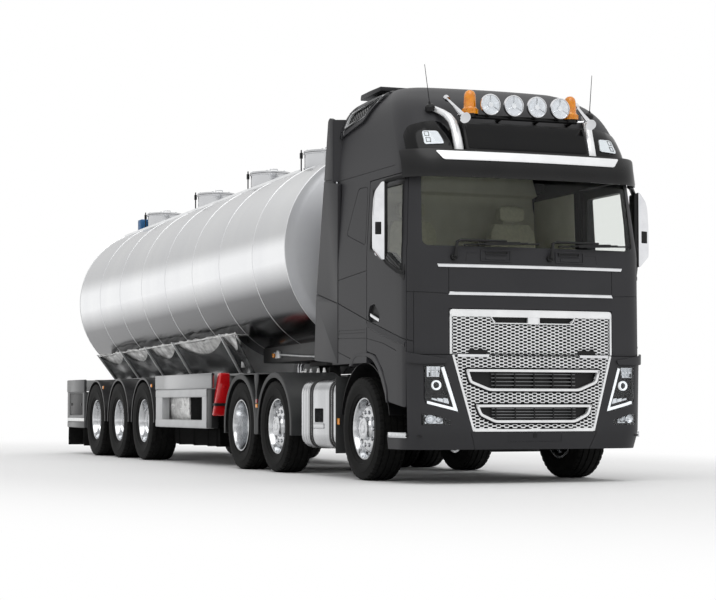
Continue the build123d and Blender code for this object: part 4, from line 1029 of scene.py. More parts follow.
# Upper reflector: a faceted bright bowl of stepped pockets
for k, (a, b) in enumerate(((0.965, 1.0), (1.004, 1.04), (1.044, 1.085))):
    pocket = [(a, 1.0), (a - 0.012 * (k == 0), 1.095), (b, 1.095), (b, 1.0)]
    lampBright.merge(rimOf(pocket, 0.004, aroundBumper, -0.012, 0.05))
    lampBright.merge(plate(shrunk(pocket, 0.004), aroundBumper, -0.042, 0.05))
    lampBright.merge(panel(a + 0.006, b - 0.006, 1.04, 1.056, aroundBumper, -0.02, 0.05))
# Lower reflectors beside the guide
for a, b in ((0.862, 0.915), (0.92, 0.975), (0.98, 1.035)):
    foot = [0.742 + (s - 0.862) * 0.25 for s in (a, b)]
    lampBright.merge(plate([(a, foot[0]), (a, 0.795), (b, 0.805), (b, foot[1])], aroundBumper, -0.036,
                           0.052))
# Fog lamp: two bright bowls on a ribbed bright panel, each with a bulb shield
lampBright.merge(plate([(0.925, 0.566), (0.925, 0.612), (1.03, 0.64), (1.112, 0.642), (1.112, 0.566)],
                       aroundBumper, -0.038, 0.048))
for k in range(6):
    s = 0.93 + 0.012 * k
    lampBright.merge(trail(((s, 0.57), (s, 0.61 + 0.0032 * k)), 0.006, aroundBumper, -0.03, 0.04))
for s, r in ((1.065, 0.042), (0.965, 0.032)):
    base = Vector(aroundBumper(s, 0.606, -0.044))
    lampBright.spin(((0.0, 0.0), (0.002, 0.014), (0.01, r * 0.7), (0.028, r), (0.032, r),
                     (0.028, r * 1.08), (0.0, r * 1.08)), base, way, 24)
    lampBright.spin(((0.004, 0.01), (0.026, 0.01), (0.03, 0.006), (0.03, 0.0)), base, way, 12)
make("headlampBowls", lampFloor.both(), "tractor", [glossBlack])
make("headlampReflectors", lampBright.both(), "tractor", [lampSilver])
make("headlampLightGuides", lampGuide.both(), "tractor", [opalAcrylic], bevel=0.003)
make("headlampCovers", lampLens.both(), "tractor", [lampCover], ["headlamps"])
print("headlamps done")

# Bumper: closed corners behind the lamps, seams, a blank plate panel and a towing cover
bumper = {"platePanel": ((0.283, 0.392), (0.283, 0.472), (-0.283, 0.472), (-0.283, 0.392)),
          "seam": ((0.66, 0.492), (0.6, 0.322)),
          "winglet": ((0.905, 1.125), (0.89, 1.165), (1.3, 1.232), (1.3, 1.135), (1.12, 1.118))}
bumperCuts = [trail(bumper["seam"], 0.006, aroundBumper, 0.01, 0.006).both(),
              plate(bumper["platePanel"], bumperFront, 0.02, 0.004),
              trail(((0.665, 1.196), (0.648, 0.6)), 0.004, aroundBumper, 0.01, 0.004).both()]
inner = bodyOf("bumper", 0.3, 1.23, 0.07, 6.2, rise=0.2)
bumperCuts += [inner, Shape().prism(rounded(lowerOutline, 0.03), "x", 6.6, 7.1),
               Shape().box(6.2, 6.742, -1.3, 1.3, 0.455, 1.3)]
for outline in (headlamp["outline"], fogLamp["outline"]):
    bumperCuts.append(Shape().prism(outline, "x", 6.7, 7.1).both())
make("bumperPanels", bodyOf("bumper", 0.322, 1.204, 0.0, 6.3, rise=0.06), "tractor",
     [cabPaint], ["front_bumper"], cuts=bumperCuts)
steps = Shape().box(6.32, 6.742, 0.96, 1.225, 0.44, 0.455).box(6.32, 6.742, 0.96, 1.125, 0.8, 0.815)
steps.box(6.32, 6.742, 0.945, 0.96, 0.44, 1.145).box(6.7, 6.85, 0.945, 1.15, 0.44, 0.455)
steps.box(6.48, 6.8, 0.425, 0.945, 0.64, 0.7)
make("bumperSteps", steps.both(), "tractor", [blackPlastic], bevel=0.003)
make("bumperWinglets", plate(bumper["winglet"], aroundBumper, 0.022, 0.0, step=0.03).both(), "tractor",
     [cabPaint], bevel=0.004)
towCover = panel(-0.018, 0.018, 0.432, 0.468, bumperFront, 0.001, 0.012)
towCover.merge(trail(((-0.4, 0.517), (-0.045, 0.517)), 0.008, bumperFront, 0.0045, 0.0).both())
make("towCover", towCover, "tractor", [blackPlastic])
# Folding steps at the grille's upper corners: bright bar under a dark slot
foldStep = panel(0.475, 0.79, 1.184, 1.212, aroundBumper, 0.024, 0.0)
make("foldingStepBars", foldStep.both(), "tractor", [chromePlate], bevel=0.005)
stepSlot = panel(0.475, 0.665, 1.216, 1.252, cabFront, 0.004, 0.012)
make("foldingStepSlots", stepSlot.both(), "tractor", [blackPlastic])
# Cab step: bright tread edge and black well below the door
sillStep = Shape().box(6.325, 6.725, 1.212, 1.244, 0.43, 0.482)
sillStep.box(6.325, 6.725, 1.0, 1.215, 0.462, 0.474)
make("doorStepTread", sillStep.both(), "tractor", [polishedAluminium], bevel=0.004)
stepWell = Shape()
for z in (0.462, 0.818):
    for k in range(9):
        x = 6.36 + 0.04 * k
        stepWell.box(x, x + 0.015, 0.99, 1.2, z, z + 0.012)
make("doorStepGrips", stepWell.both(), "tractor", [blackPlastic])
print("bumper done")


# Roof: one smooth shell, intake hoods at the rear corners, a spoiler fin, black corner panels with lamps
roof = {
    "rear": 4.86, "hood": ((4.872, 3.455), (4.905, 3.79), (5.56, 3.885), (5.7, 3.8), (5.47, 3.565)),
    "fin": ((4.64, 3.905), (4.66, 3.962), (4.9, 3.972), (5.2, 3.975), (5.2, 3.93)),
    "panel": ((0.7, 3.01), (0.7, 3.28), (0.745, 3.4), (0.84, 3.448), (0.96, 3.432), (1.12, 3.392),
              (1.205, 3.3), (1.215, 3.01)),
    "marker": ((0.828, 3.205), (0.86, 3.336), (1.008, 3.332), (1.02, 3.192)),
}
aroundRoof = aroundSkin("roof")
roofSide = onSide("roof")
hood = rounded(list(roof["hood"]), 0.05)
screen = shrunk(rounded(list(roof["hood"]), 0.03), 0.075)
roofCuts = [bodyOf("roof", 2.95, 3.86, 0.05, roof["rear"] + 0.05, rise=0.1),
            plate(screen, roofSide, 0.08, 0.03).both()]
roofSeam = trail(((4.9, 3.02), (6.4, 3.02)), 0.006, roofSide, 0.02, 0.006).both()
make("roofShell", bodyOf("roof", 3.0, 3.95, 0.0, roof["rear"], rise=0.04, steps=(30, 12, 10)), "tractor",
     [cabPaint], ["cab_roof"], cuts=roofCuts + [roofSeam])
hoodFrame = rimOf(hood, 0.075, roofSide, 0.028, 0.01)
hoodFrame.merge(rimOf(shrunk(hood, 0.06), 0.016, roofSide, 0.036, 0.0))
make("intakeHoodFrames", hoodFrame.both(), "tractor", [cabPaint], bevel=0.004)
cells = hexMesh(screen, lambda x, z, out: roofSide(x, z, out + 0.008), (0.04, 0.034), 0.2, 0.008)
make("intakeScreens", cells.both(), "tractor", [glossBlack])
make("intakeRims", rimOf(shrunk(screen, -0.026), 0.024, roofSide, 0.03, 0.004).both(), "tractor",
     [satinSteel])
make("intakeWells", plate(screen, roofSide, -0.024, 0.034).both(), "tractor",
     [blackPlastic])
fin = Shape().prism(roof["fin"], "y", -0.86, 0.86)
make("spoilerFin", fin, "tractor", [cabPaint], bevel=0.01)
panels = plate(rounded(list(roof["panel"]), 0.04), aroundRoof, 0.014, 0.004, step=0.03)
make("roofCornerPanels", panels.both(), "tractor", [glossBlack], bevel=0.003)
marker = rounded(list(roof["marker"]), 0.025)
make("markerLampReflectors", plate(marker, aroundRoof, 0.017, 0.0, step=0.02).both(), "tractor",
     [whiteNylon])
pockets = Shape()
for rise in (0.0, 0.062):
    pocket = [(0.955, 3.215 + rise), (0.95, 3.262 + rise), (0.995, 3.262 + rise), (0.997, 3.215 + rise)]
    pockets.merge(rimOf(pocket, 0.006, aroundRoof, 0.019, 0.0))
make("markerLampPockets", pockets.both(), "tractor", [blackPlastic])
make("markerLampCovers", plate(marker, aroundRoof, 0.022, -0.019, step=0.02).both(), "tractor",
     [lampCover])
print("roof done")

# Sun visor: one profile of (up, out of the skin) swept round the front, tapering at its ends
visor = {"profile": ((2.962, -0.003), (2.905, 0.046), (2.872, 0.068), (2.872, 0.08), (2.9, 0.088),
                     (3.03, 0.09), (3.12, 0.098), (3.14, 0.092), (3.14, 0.004), (3.06, -0.003)),
         "reach": 1.27, "taper": 0.05}
rings = []
for i in range(65):
    s = visor["reach"] * (i / 32 - 1)
    near = max(0.0, (abs(s) - visor["reach"] + visor["taper"]) / visor["taper"])
    shrink = math.sqrt(max(0.0, 1 - 0.9 * near ** 2))
    rings.append([(aroundRoof if z > 3.0 else aroundCab)(s, z, out * (shrink if out > 0 else 1))
                  for z, out in visor["profile"]])
make("sunVisor", Shape().loft(rings), "tractor", [visorPlastic], ["roof_visor"])
band = {"outline": ((-0.952, 3.122), (-0.892, 3.036), (0.892, 3.036), (0.952, 3.122)), "proud": 0.102}
make("visorBand", plate(rounded(list(band["outline"]), 0.02), aroundRoof, band["proud"], -0.085),
     "tractor", [anodisedAluminium], bevel=0.004)
# Light box with a blank gloss face between two bright uprights that bend back over the roof
lightBox = {"half": 0.648, "section": ((6.7, 3.142), (6.852, 3.142), (6.742, 3.42), (6.52, 3.42)),
            "face": 0.006}
boxShape = Shape().prism(lightBox["section"], "y", -lightBox["half"], lightBox["half"])
make("lightBoxHousing", boxShape, "tractor", [blackPlastic], bevel=0.006)


def tilt(y, z, out):
    # The light box's sloping face
    return 6.852 - (z - 3.142) * 0.3957 + out, y, z


face = [(-0.625, 3.158), (-0.625, 3.402), (0.625, 3.402), (0.625, 3.158)]
make("lightBoxFace", plate(rounded(face, 0.02), tilt, lightBox["face"], 0.002), "tractor",
     [glossBlack], bevel=0.003)
upright = {"path": ((6.8, 0.703, 3.128), (6.766, 0.705, 3.24), (6.726, 0.71, 3.34), (6.684, 0.722, 3.425),
                    (6.62, 0.746, 3.49), (6.54, 0.776, 3.535), (6.44, 0.806, 3.575)),
           "half": 0.047, "thick": 0.03}
rings = []
for k, p in enumerate(upright["path"]):
    before, after = Vector(upright["path"][max(k - 1, 0)]), Vector(upright["path"][min(k + 1, 6)])
    way = (after - before).normalized()
    wide = Vector((0, 1, 0))
    thick = way.cross(wide).normalized() * upright["thick"]
    wide = wide * (upright["half"] - 0.002 * k)
    p = Vector(p)
    rings.append([p - wide, p - wide * 0.8 - thick * 0.7, p - thick, p + wide * 0.8 - thick * 0.7,
                  p + wide, p + wide + thick * 0.6, p - wide + thick * 0.6])
make("roofUprights", Shape().loft(rings).both(), "tractor", [anodisedAluminium],
     bevel=0.003)
print("visor done")

# Spot lamps, beacons, horns and aerials
lampBar = {"x": 6.67, "z": 3.49, "half": 0.6, "spots": (-0.369, -0.123, 0.123, 0.369), "spotX": 6.79,
           "spotZ": 3.592, "beaconY": 0.535}
bar = Shape().tube([(lampBar["x"], -lampBar["half"], lampBar["z"]),
                    (lampBar["x"], lampBar["half"], lampBar["z"])], 0.024, 16)
for y in (-0.56, -0.2, 0.2, 0.56):
    bar.tube([(lampBar["x"], y, lampBar["z"]), (6.56, y, 3.47), (6.47, y, 3.5)], 0.018, 10)
make("lampBar", bar, "tractor", [blackPlastic], ["roof_lamps"])
shells, rimsBright, bowls, glasses = Shape(), Shape(), Shape(), Shape()
ahead = (1, 0, 0)
for y in lampBar["spots"]:
    c = (lampBar["spotX"], y, lampBar["spotZ"])
    shells.spin(((-0.112, 0.0), (-0.11, 0.034), (-0.094, 0.064), (-0.06, 0.088), (-0.02, 0.098),
                 (-0.014, 0.098), (-0.014, 0.0)), c, ahead, 40)
    shells.box(c[0] - 0.09, c[0] - 0.05, y - 0.02, y + 0.02, 3.487, 3.54)
    shells.box(c[0] - 0.15, c[0] - 0.02, y - 0.014, y + 0.014, 3.48, 3.494)
    rimsBright.spin(((-0.022, 0.098), (-0.022, 0.1035), (-0.004, 0.1035), (0.002, 0.1), (0.001, 0.094),
                     (-0.01, 0.091), (-0.022, 0.091), (-0.022, 0.098)), c, ahead, 48)
    bowls.spin(((-0.0135, 0.0), (-0.0132, 0.016), (-0.0125, 0.04), (-0.0105, 0.064), (-0.0085, 0.0912),
                (-0.0138, 0.0912), (-0.0138, 0.0)), c, ahead, 48)
    bowls.spin(((-0.0125, 0.026), (-0.004, 0.026), (-0.002, 0.02), (-0.002, 0.0)), c, ahead, 20)
    for k in range(3):
        a = math.radians(90 + 120 * k)
        bowls.tube([(c[0] + dx, y + r * math.cos(a), c[2] + r * math.sin(a))
                    for dx, r in ((-0.006, 0.022), (-0.004, 0.088))],
                   0.003, 6)
    # Cover with a shallow dome
    glasses.spin(((-0.003, 0.0), (-0.003, 0.0905), (0.0, 0.0905), (0.004, 0.06), (0.0065, 0.03),
                  (0.007, 0.0)), c, ahead, 24)
make("spotLampShells", shells, "tractor", [blackPlastic])
make("spotLampRims", rimsBright, "tractor", [chromePlate])
make("spotLampBowls", bowls, "tractor", [lampSilver])
make("spotLampCovers", glasses, "tractor", [lampCover])
domes, bases = Shape(), Shape()
for y in (-lampBar["beaconY"], lampBar["beaconY"]):
    c = (lampBar["x"], y, 3.505)
    domes.spin(((0.0, 0.0), (0.0, 0.077), (0.018, 0.078), (0.05, 0.074), (0.062, 0.064), (0.07, 0.06),
                (0.165, 0.057), (0.195, 0.053), (0.216, 0.042), (0.229, 0.024), (0.234, 0.0)),
               c, (0, 0, 1), 32)
    bases.spin(((-0.03, 0.0), (-0.03, 0.05), (-0.004, 0.06), (-0.001, 0.08), (0.0, 0.08), (0.0, 0.0)), c,
               (0, 0, 1), 32)
    for k in range(8):
        a = 2 * math.pi * k / 8
        px, py = c[0] + 0.0755 * math.cos(a), y + 0.0755 * math.sin(a)
        domes.box(px - 0.006, px + 0.006, py - 0.006, py + 0.006, 3.508, 3.548)
make("beaconDomes", domes, "tractor", [amberAcrylic], bevel=0.0)
make("beaconBases", bases, "tractor", [blackPlastic])
horns = Shape()
for way in (-1, 1):
    mouth, tip = Vector((6.852, way * 0.665, 3.44)), Vector((6.47, way * 0.7, 3.69))
    along = tip - mouth
    length = along.length
    horns.spin(((0.0, 0.0), (-0.002, 0.044), (-0.004, 0.053), (0.006, 0.054), (0.02, 0.046),
                (0.045, 0.034), (0.09, 0.026), (0.2, 0.019), (0.36, 0.013), (length - 0.05, 0.011)),
                mouth, along, 28)
    horns.spin(((length - 0.05, 0.0), (length - 0.05, 0.026), (length - 0.006, 0.028), (length, 0.02),
                (length, 0.0)), mouth, along, 20)
    horns.tube([mouth + along * 0.25, (6.7, way * 0.672, 3.49), (6.66, way * 0.6, 3.49)], 0.01, 8)
make("airHorns", horns, "tractor", [chromePlate])
aerials = {"left": ((6.46, 0.858, 3.59), (6.44, 0.9, 4.0)),
           "right": ((6.46, -0.858, 3.59), (6.44, -0.905, 4.0))}
aerial = Shape()
for foot, top in aerials.values():
    foot, top = Vector(foot), Vector(top)
    aerial.spin(((-0.03, 0.05), (0.01, 0.046), (0.026, 0.03), (0.03, 0.0)), foot,
                (0.35, foot.y * 0.35, 1), 20)
    aerial.tube([foot, foot + (top - foot) * 0.12], [0.012, 0.009], 10)
    aerial.tube([foot + (top - foot) * 0.1, top], [0.0045, 0.0028], 8)
make("aerials", aerial, "tractor", [blackPlastic])
print("roof lamps done")

# Mirrors: chrome outer shell, black inner frame, mirror glass behind, two black arms
mirror = {"x": (6.412, 6.535),
          "shell": ((1.362, 2.1), (1.362, 2.848), (1.382, 2.84), (1.447, 2.753), (1.464, 2.68),
                    (1.475, 2.52), (1.477, 2.316), (1.475, 2.205), (1.382, 2.105)),
          "window": ((1.392, 2.341), (1.392, 2.461), (1.456, 2.458), (1.456, 2.339)),
          "inner": ((1.322, 2.17), (1.322, 2.825), (1.363, 2.835), (1.363, 2.12), (1.34, 2.125)),
          "topArm": ((6.65, 1.19, 2.885), (6.6, 1.24, 2.88), (6.5, 1.31, 2.862), (6.465, 1.35, 2.82)),
          "lowArm": ((6.69, 1.228, 1.975), (6.62, 1.262, 1.99), (6.52, 1.33, 2.075), (6.47, 1.36, 2.15))}
for sideName, s in sides:
    body = f"door_{sideName}"
    x0, x1 = mirror["x"]
    outline = rounded(list(mirror["shell"]), 0.02, 3)
    shell = Shape().loft([[(x, 1.362 + (y - 1.362) * wide, 2.475 + (z - 2.475) * tall)
                           for y, z in outline] for x, wide, tall in
                          ((x0 + 0.004, 0.62, 0.96), (x0 + 0.04, 0.8, 0.985), (x1 - 0.024, 0.99, 1.0),
                           (x1 - 0.006, 1.0, 0.998), (x1, 0.96, 0.99))])
    make(f"mirrorShell_{sideName}", shell.sided(s), body, [chromePlate],
         [f"mirror_{sideName}"], angle=28)
    armFrame = Shape().prism(rounded(list(mirror["inner"]), 0.02), "x", x0 + 0.002, x1 - 0.012)
    armFrame.prism(rounded(list(mirror["window"]), 0.008), "x", x1 - 0.004, x1 + 0.003)
    armFrame.tube(mirror["topArm"], 0.024, 12).tube(mirror["lowArm"], 0.022, 12)
    armFrame.merge(panel(6.6, 6.715, 1.955, 1.995, side, 0.012, 0.004))
    make(f"mirrorFrame_{sideName}", armFrame.sided(s), body, [blackPlastic], bevel=0.004)
    glass = Shape()
    for low, top in ((2.46, 2.815), (2.145, 2.43)):
        glass.prism(rounded([(1.335, low), (1.335, top), (1.4 - 0.015 * (top > 2.7), top), (1.412, low)],
                            0.03), "x", x0 - 0.004, x0 + 0.01)
    make(f"mirrorGlass_{sideName}", glass.sided(s), body, [chromePlate], bevel=0.002)

# Side deflectors behind the cab, with a seam below the upper part
deflector = {"outline": ((4.992, 1.16), (4.992, 2.99), (4.85, 3.0), (4.85, 3.66), (4.76, 3.69),
                         (4.712, 3.66), (4.6, 3.06), (4.36, 1.83), (4.31, 1.2)),
             "y": (1.207, 1.244), "brackets": (1.5, 2.3, 2.8), "upper": (3.02, 3.66)}
wing = Shape().prism(rounded(list(deflector["outline"]), 0.03), "y", *deflector["y"])
seam = Shape().prism([(4.55, 3.052), (4.55, 3.06), (5.05, 3.028), (5.05, 3.02)], "y", 1.234, 1.26)
crease = trail(((4.3, 1.91), (4.98, 1.77)), 0.01, side, 0.02, 0.008)
# Inner return from the wing's upper part to the roof's side
low, high = deflector["upper"]
heights = [low + (high - low) * i / 10 for i in range(11)]
reach = [min(1.243, planAt("roof", z)[0]) for z in heights]
returns = Shape().loft([[(4.846, 1.242, z), (4.905, y - 0.004, z), (4.905, y - 0.02, z),
                         (4.838, 1.226, z)] for z, y in zip(heights, reach)])
make("deflectorReturns", returns.both(), "tractor", [cabPaint])
make("deflectorPanels", wing.both(), "tractor", [cabPaint], ["side_deflectors"], bevel=0.006,
     cuts=[seam.both(), crease.both()])
brackets = Shape()
for z in deflector["brackets"]:
    brackets.box(4.52, 4.72, 1.15, 1.207, z, z + 0.04).box(4.7, 4.72, 1.1, 1.207, z, z + 0.04)
make("deflectorBrackets", brackets.both(), "tractor", [chassisPaint], bevel=0.003)
print("mirrors and deflectors done")


# Tank: dished heads on a long barrel whose axis falls gently to the rear, with raised weld bands
tank = {
    "r": 1.148, "front": (3.1, 0.0, 2.476), "slope": 1.0, "length": 9.55, "crown": 2.626, "knuckle": 0.15,
    "welds": (1.96, 0.68, -0.45, -1.7, -2.87, -4.04, -5.19), "weldWide": 0.011, "weldProud": 0.0025,
    "necks": (1.32, -0.73, -3.09, -5.74), "neckR": 0.26, "neckHigh": 0.19,
}
fall = math.radians(tank["slope"])
barrelWay = Vector((-math.cos(fall), 0, -math.sin(fall)))
tankFront = Vector(tank["front"])


def tankTop(x):
    return tank["front"][2] - (tank["front"][0] - x) * math.tan(fall) + tank["r"] / math.cos(fall)


def tankAxisZ(x):
    return tank["front"][2] - (tank["front"][0] - x) * math.tan(fall)


def headProfile():
    # (distance past the barrel's end, radius) from the pole to the barrel
    reach = tank["crown"] - tank["knuckle"]
    edge = tank["r"] - tank["knuckle"]
    bend = math.asin(edge / reach)
    depth = tank["crown"] - math.sqrt(reach ** 2 - edge ** 2)
    points = [(depth - tank["crown"] * (1 - math.cos(bend * i / 14)),
               tank["crown"] * math.sin(bend * i / 14)) for i in range(15)]
    for i in range(1, 9):
        a = bend + (math.pi / 2 - bend) * i / 8
        points.append((tank["knuckle"] * math.cos(a), edge + tank["knuckle"] * math.sin(a)))
    return points


head = headProfile()
barrel = [(tank["length"] * i / 24, tank["r"]) for i in range(25)]
tankShape = Shape().spin(barrel, tankFront, barrelWay, 144)
tankShape.spin([(-out, r) for out, r in head], tankFront, barrelWay, 144, paint=1)
tankShape.spin([(tank["length"] + out, r) for out, r in reversed(head)], tankFront, barrelWay, 144,
               paint=1)
make("tankShell", tankShape, "trailer", [tankSteelPaintedShade, headSteel], ["tank"], angle=40)
bands = Shape()
for x in tank["welds"] + (3.085, -6.435):
    along = (tank["front"][0] - x) / math.cos(fall)
    w, r = tank["weldWide"] / 2, tank["r"]
    proud = r + tank["weldProud"]
    bands.spin(((along - w, r - 0.002), (along - w * 0.6, proud), (along + w * 0.6, proud),
                (along + w, r - 0.002), (along - w, r - 0.002)), tankFront, barrelWay, 144)
make("tankWeldBands", bands, "trailer", [weldSteel])
necks = Shape()
for x in tank["necks"]:
    top = tankTop(x)
    r, high = tank["neckR"], tank["neckHigh"]
    necks.spin(((-0.06, r - 0.006), (-0.06, r), (0.015, r), (high - 0.022, r), (high - 0.02, r + 0.01),
                (high - 0.002, r + 0.01), (high - 0.002, r - 0.016), (-0.06, r - 0.016),
                (-0.06, r - 0.006)), (x, 0, top), (0, 0, 1), 56)
    necks.spin(((-0.012, r + 0.002), (0.004, r + 0.012), (0.012, r + 0.002)), (x, 0, top), (0, 0, 1), 56)
    for y in (-0.1, 0.1):
        necks.box(x - 0.325, x - 0.262, y - 0.012, y + 0.012, top + 0.12, top + 0.186)
    necks.box(x + 0.262, x + 0.3, -0.02, 0.02, top + 0.13, top + 0.18)
make("manholeNecks", necks, "trailer", [brightSteel], bevel=0.002)
posts = Shape()
for x in tank["necks"]:
    top = tankTop(x)
    posts.tube([(x - 0.105, -0.276, top - 0.04), (x - 0.105, -0.276, top + 0.235)], 0.009, 10)
    posts.box(x - 0.121, x - 0.089, -0.292, -0.26, top + 0.13, top + 0.2)
make("dipstickPosts", posts, "trailer", [blackPlastic], bevel=0.003)
for number, x in enumerate(tank["necks"], 1):
    top = tankTop(x) + tank["neckHigh"]
    lid = Shape().spin(((0.002, 0.0), (0.002, 0.262), (0.004, 0.268), (0.02, 0.268), (0.026, 0.262),
                        (0.028, 0.235), (0.022, 0.215), (0.024, 0.15), (0.033, 0.06), (0.034, 0.0)),
                       (x, 0, top), (0, 0, 1), 56)
    lid.box(x - 0.312, x - 0.1, -0.08, 0.08, top + 0.006, top + 0.03)
    for k in range(6):
        a = math.radians(30 + 60 * k)
        lid.spin(((0.0, 0.014), (0.032, 0.014), (0.038, 0.008), (0.038, 0.0)),
                 (x + 0.235 * math.cos(a), 0.235 * math.sin(a), top), (0, 0, 1), 12)
    bail = ((0.12, -0.05, 0.028), (0.13, -0.05, 0.06), (0.13, 0.05, 0.06), (0.12, 0.05, 0.028))
    lid.tube([(x + dx, y, top + dz) for dx, y, dz in bail], 0.007, 8)
    make(f"manholeLid_{number}", lid, f"lid_{number}", [brightSteel],
         [f"manhole_lid_{number}"], bevel=0.002)
# Blue valve box beside the rear neck
valveBox = Shape().box(-6.22, -6.03, -0.3, -0.1, tankTop(-6.1) - 0.03, tankTop(-6.1) + 0.155)
make("valveBox", valveBox, "trailer", [bluePowder], bevel=0.02)
print("tank done")

# Cradle: flanged ribs from the beams to the tank, dark hollow panels between them, crumpled foil above
cradle = {"ribs": (-6.0, -4.65, -3.3, -1.95, 0.15), "foot": (0.69, 1.132), "head": (1.0, 1.6),
          "thick": 0.01, "flange": 0.06}


def cradlePoint(x, t, inset=0.0):
    # From the beam (t = 0) up to the tank (t = 1), leaning out; the tank falls to the rear
    drop = (3.1 - x) * math.tan(fall) - 0.05
    y = cradle["foot"][0] + (cradle["head"][0] - cradle["foot"][0]) * t
    z = cradle["foot"][1] + (cradle["head"][1] - drop - cradle["foot"][1]) * t
    return x, y - inset, z


ribShape = Shape()
for x in cradle["ribs"]:
    w = cradle["flange"] / 2
    low, high = cradlePoint(x, 0.0), cradlePoint(x, 1.04)
    lean = 0.12
    foot = [(low[0] - w, low[1] + 0.01, low[2]), (low[0] + w, low[1] + 0.01, low[2]),
            (low[0] + w, low[1], low[2]), (low[0] - w, low[1], low[2])]
    near, far = high[0] - w * 0.5 + lean, high[0] + w * 0.5 + lean
    ribShape.loft([foot, [(near, high[1] + 0.01, high[2]), (far, high[1] + 0.01, high[2]),
                          (far, high[1], high[2]), (near, high[1], high[2])]])
    t = cradle["thick"] / 2
    near, far = x - t + lean, x + t + lean
    ribShape.loft([[(x - t, 0.0, low[2]), (x + t, 0.0, low[2]), (x + t, low[1], low[2]),
                    (x - t, low[1], low[2])],
                   [(near, 0.0, high[2] - 0.22), (far, 0.0, high[2] - 0.22), (far, high[1], high[2]),
                    (near, high[1], high[2])]])
make("cradleRibs", ribShape.both(), "trailer", [satinSteel], ["saddles"],
     bevel=0.002)
panelShape, foilShape = Shape(), Shape()
bays = list(zip(cradle["ribs"], cradle["ribs"][1:])) + [(0.15, 0.65)]
columns, rows = 18, 8
for a, b in bays:
    front, back = [], []
    for i in range(columns + 1):
        u = i / columns
        crest = 0.98 - 0.4 * math.sin(math.pi * u) ** 0.8
        x = a + (b - a) * u
        hollow = [cradlePoint(x + 0.12 * crest * j / rows, crest * j / rows,
                              0.02 + 0.06 * math.sin(math.pi * j / rows) * math.sin(math.pi * u))
                  for j in range(rows + 1)]
        front.append(hollow + [(px, py - 0.006, pz) for px, py, pz in reversed(hollow)])
        strip = []
        for j in range(rows + 1):
            t = crest - 0.03 + (1.06 - crest) * j / rows
            p = Vector(cradlePoint(x + 0.12 * t, t, 0.055))
            crumple = (noise.noise(Vector((x * 7.0, t * 5.0, 0.3))) * 0.03
                       + noise.noise(Vector((x * 19.0, t * 13.0, 4.1))) * 0.012)
            strip.append((p.x, p.y + crumple, p.z + crumple * 0.5))
        back.append(strip + [(px, py - 0.006, pz) for px, py, pz in reversed(strip)])
    panelShape.loft(front)
    foilShape.loft(back)
# Folded tops that close the cradle against the tank, crumpled
topShape = Shape()
for a, b in bays:
    strips = []
    for i in range(25):
        x = a + (b - a) * i / 24
        px, py, pz = cradlePoint(x + 0.12, 1.0)
        axisZ = tankAxisZ(px)
        ring = []
        for j in range(9):
            y = py - 0.004 - 0.21 * j / 8
            swell = (noise.noise(Vector((x * 5.0, y * 9.0, 7.7))) * 0.03
                     + noise.noise(Vector((x * 13.0, y * 21.0, 2.2))) * 0.012) * math.sin(math.pi * j / 8)
            z = pz - 0.012 + swell
            ring.append((px, y, min(z, axisZ - math.sqrt(max(0.0, (tank["r"] + 0.004) ** 2 - y * y)))))
        strips.append(ring + [(qx, qy, qz - 0.005) for qx, qy, qz in reversed(ring)])
    topShape.loft(strips)
make("cradleTops", topShape.both(), "trailer", [crumpledFoil], angle=60)
make("cradlePanels", panelShape.both(), "trailer", [darkSteel], angle=50)
make("cradleFoil", foilShape.both(), "trailer", [crumpledFoil], angle=60)
print("cradle done")

# Trailer frame: flanged beams, folded inner rails, cross members, raised landing legs, side panels
trailer = {
    "beam": (0.42, 0.52, 0.93, 1.13), "ends": (-6.86, 0.4), "rail": (0.8, 0.84, 0.94, 1.13),
    "railFront": 0.7,
    "crosses": (-6.81, -5.8, -4.435, -3.125, -1.82, -0.9, 0.15), "panels": ((-6.86, -5.76), (-1.79, 0.7)),
    "legX": 0.3, "legY": 0.76,
}
beams = Shape()
y0, y1, z0, z1 = trailer["beam"]
beamSection = ((y0, z0), (y1, z0), (y1, z0 + 0.014), (0.476, z0 + 0.018), (0.476, z1 - 0.018),
               (y1, z1 - 0.014), (y1, z1), (y0, z1), (y0, z1 - 0.014), (0.464, z1 - 0.018),
               (0.464, z0 + 0.018), (y0, z0 + 0.014))
beams.prism(beamSection, "x", *trailer["ends"])
for k in range(14):
    x = -6.5 + 0.5 * k
    beams.box(x - 0.004, x + 0.004, y0 + 0.004, y1 - 0.004, z0 + 0.012, z1 - 0.012)
y0, y1, z0, z1 = trailer["rail"]
railSection = ((y0, z0), (y1, z0), (y1, z0 + 0.03), (y1 - 0.006, z0 + 0.03), (y1 - 0.006, z0 + 0.006),
               (y0 + 0.006, z0 + 0.006), (y0 + 0.006, z1 - 0.006), (y1 - 0.006, z1 - 0.006),
               (y1 - 0.006, z1 - 0.03), (y1, z1 - 0.03), (y1, z1), (y0, z1))
beams.prism(railSection, "x", trailer["ends"][0], trailer["railFront"])
make("trailerBeams", beams.both(), "trailer", [zincPaint], ["trailer_frame"], bevel=0.002)
crosses = Shape()
for x in trailer["crosses"]:
    reach = 1.2 if any(a <= x - 0.04 and x + 0.04 <= b for a, b in trailer["panels"]) else 0.8
    section = ((x - 0.04, 0.962), (x + 0.04, 0.962), (x + 0.04, 1.118), (x - 0.04, 1.118),
               (x - 0.04, 1.106), (x + 0.028, 1.106), (x + 0.028, 0.974), (x - 0.04, 0.974))
    crosses.prism(section, "y", 0.0, reach)
make("trailerCrossMembers", crosses.both(), "trailer", [zincPaint], bevel=0.002)
legs = Shape()
lx, ly = trailer["legX"], trailer["legY"]
legs.prism(rounded(square(lx, ly, 0.06), 0.014), "z", 0.56, 1.128)
legs.prism(rounded(square(lx, ly, 0.048), 0.01), "z", 0.345, 0.56)
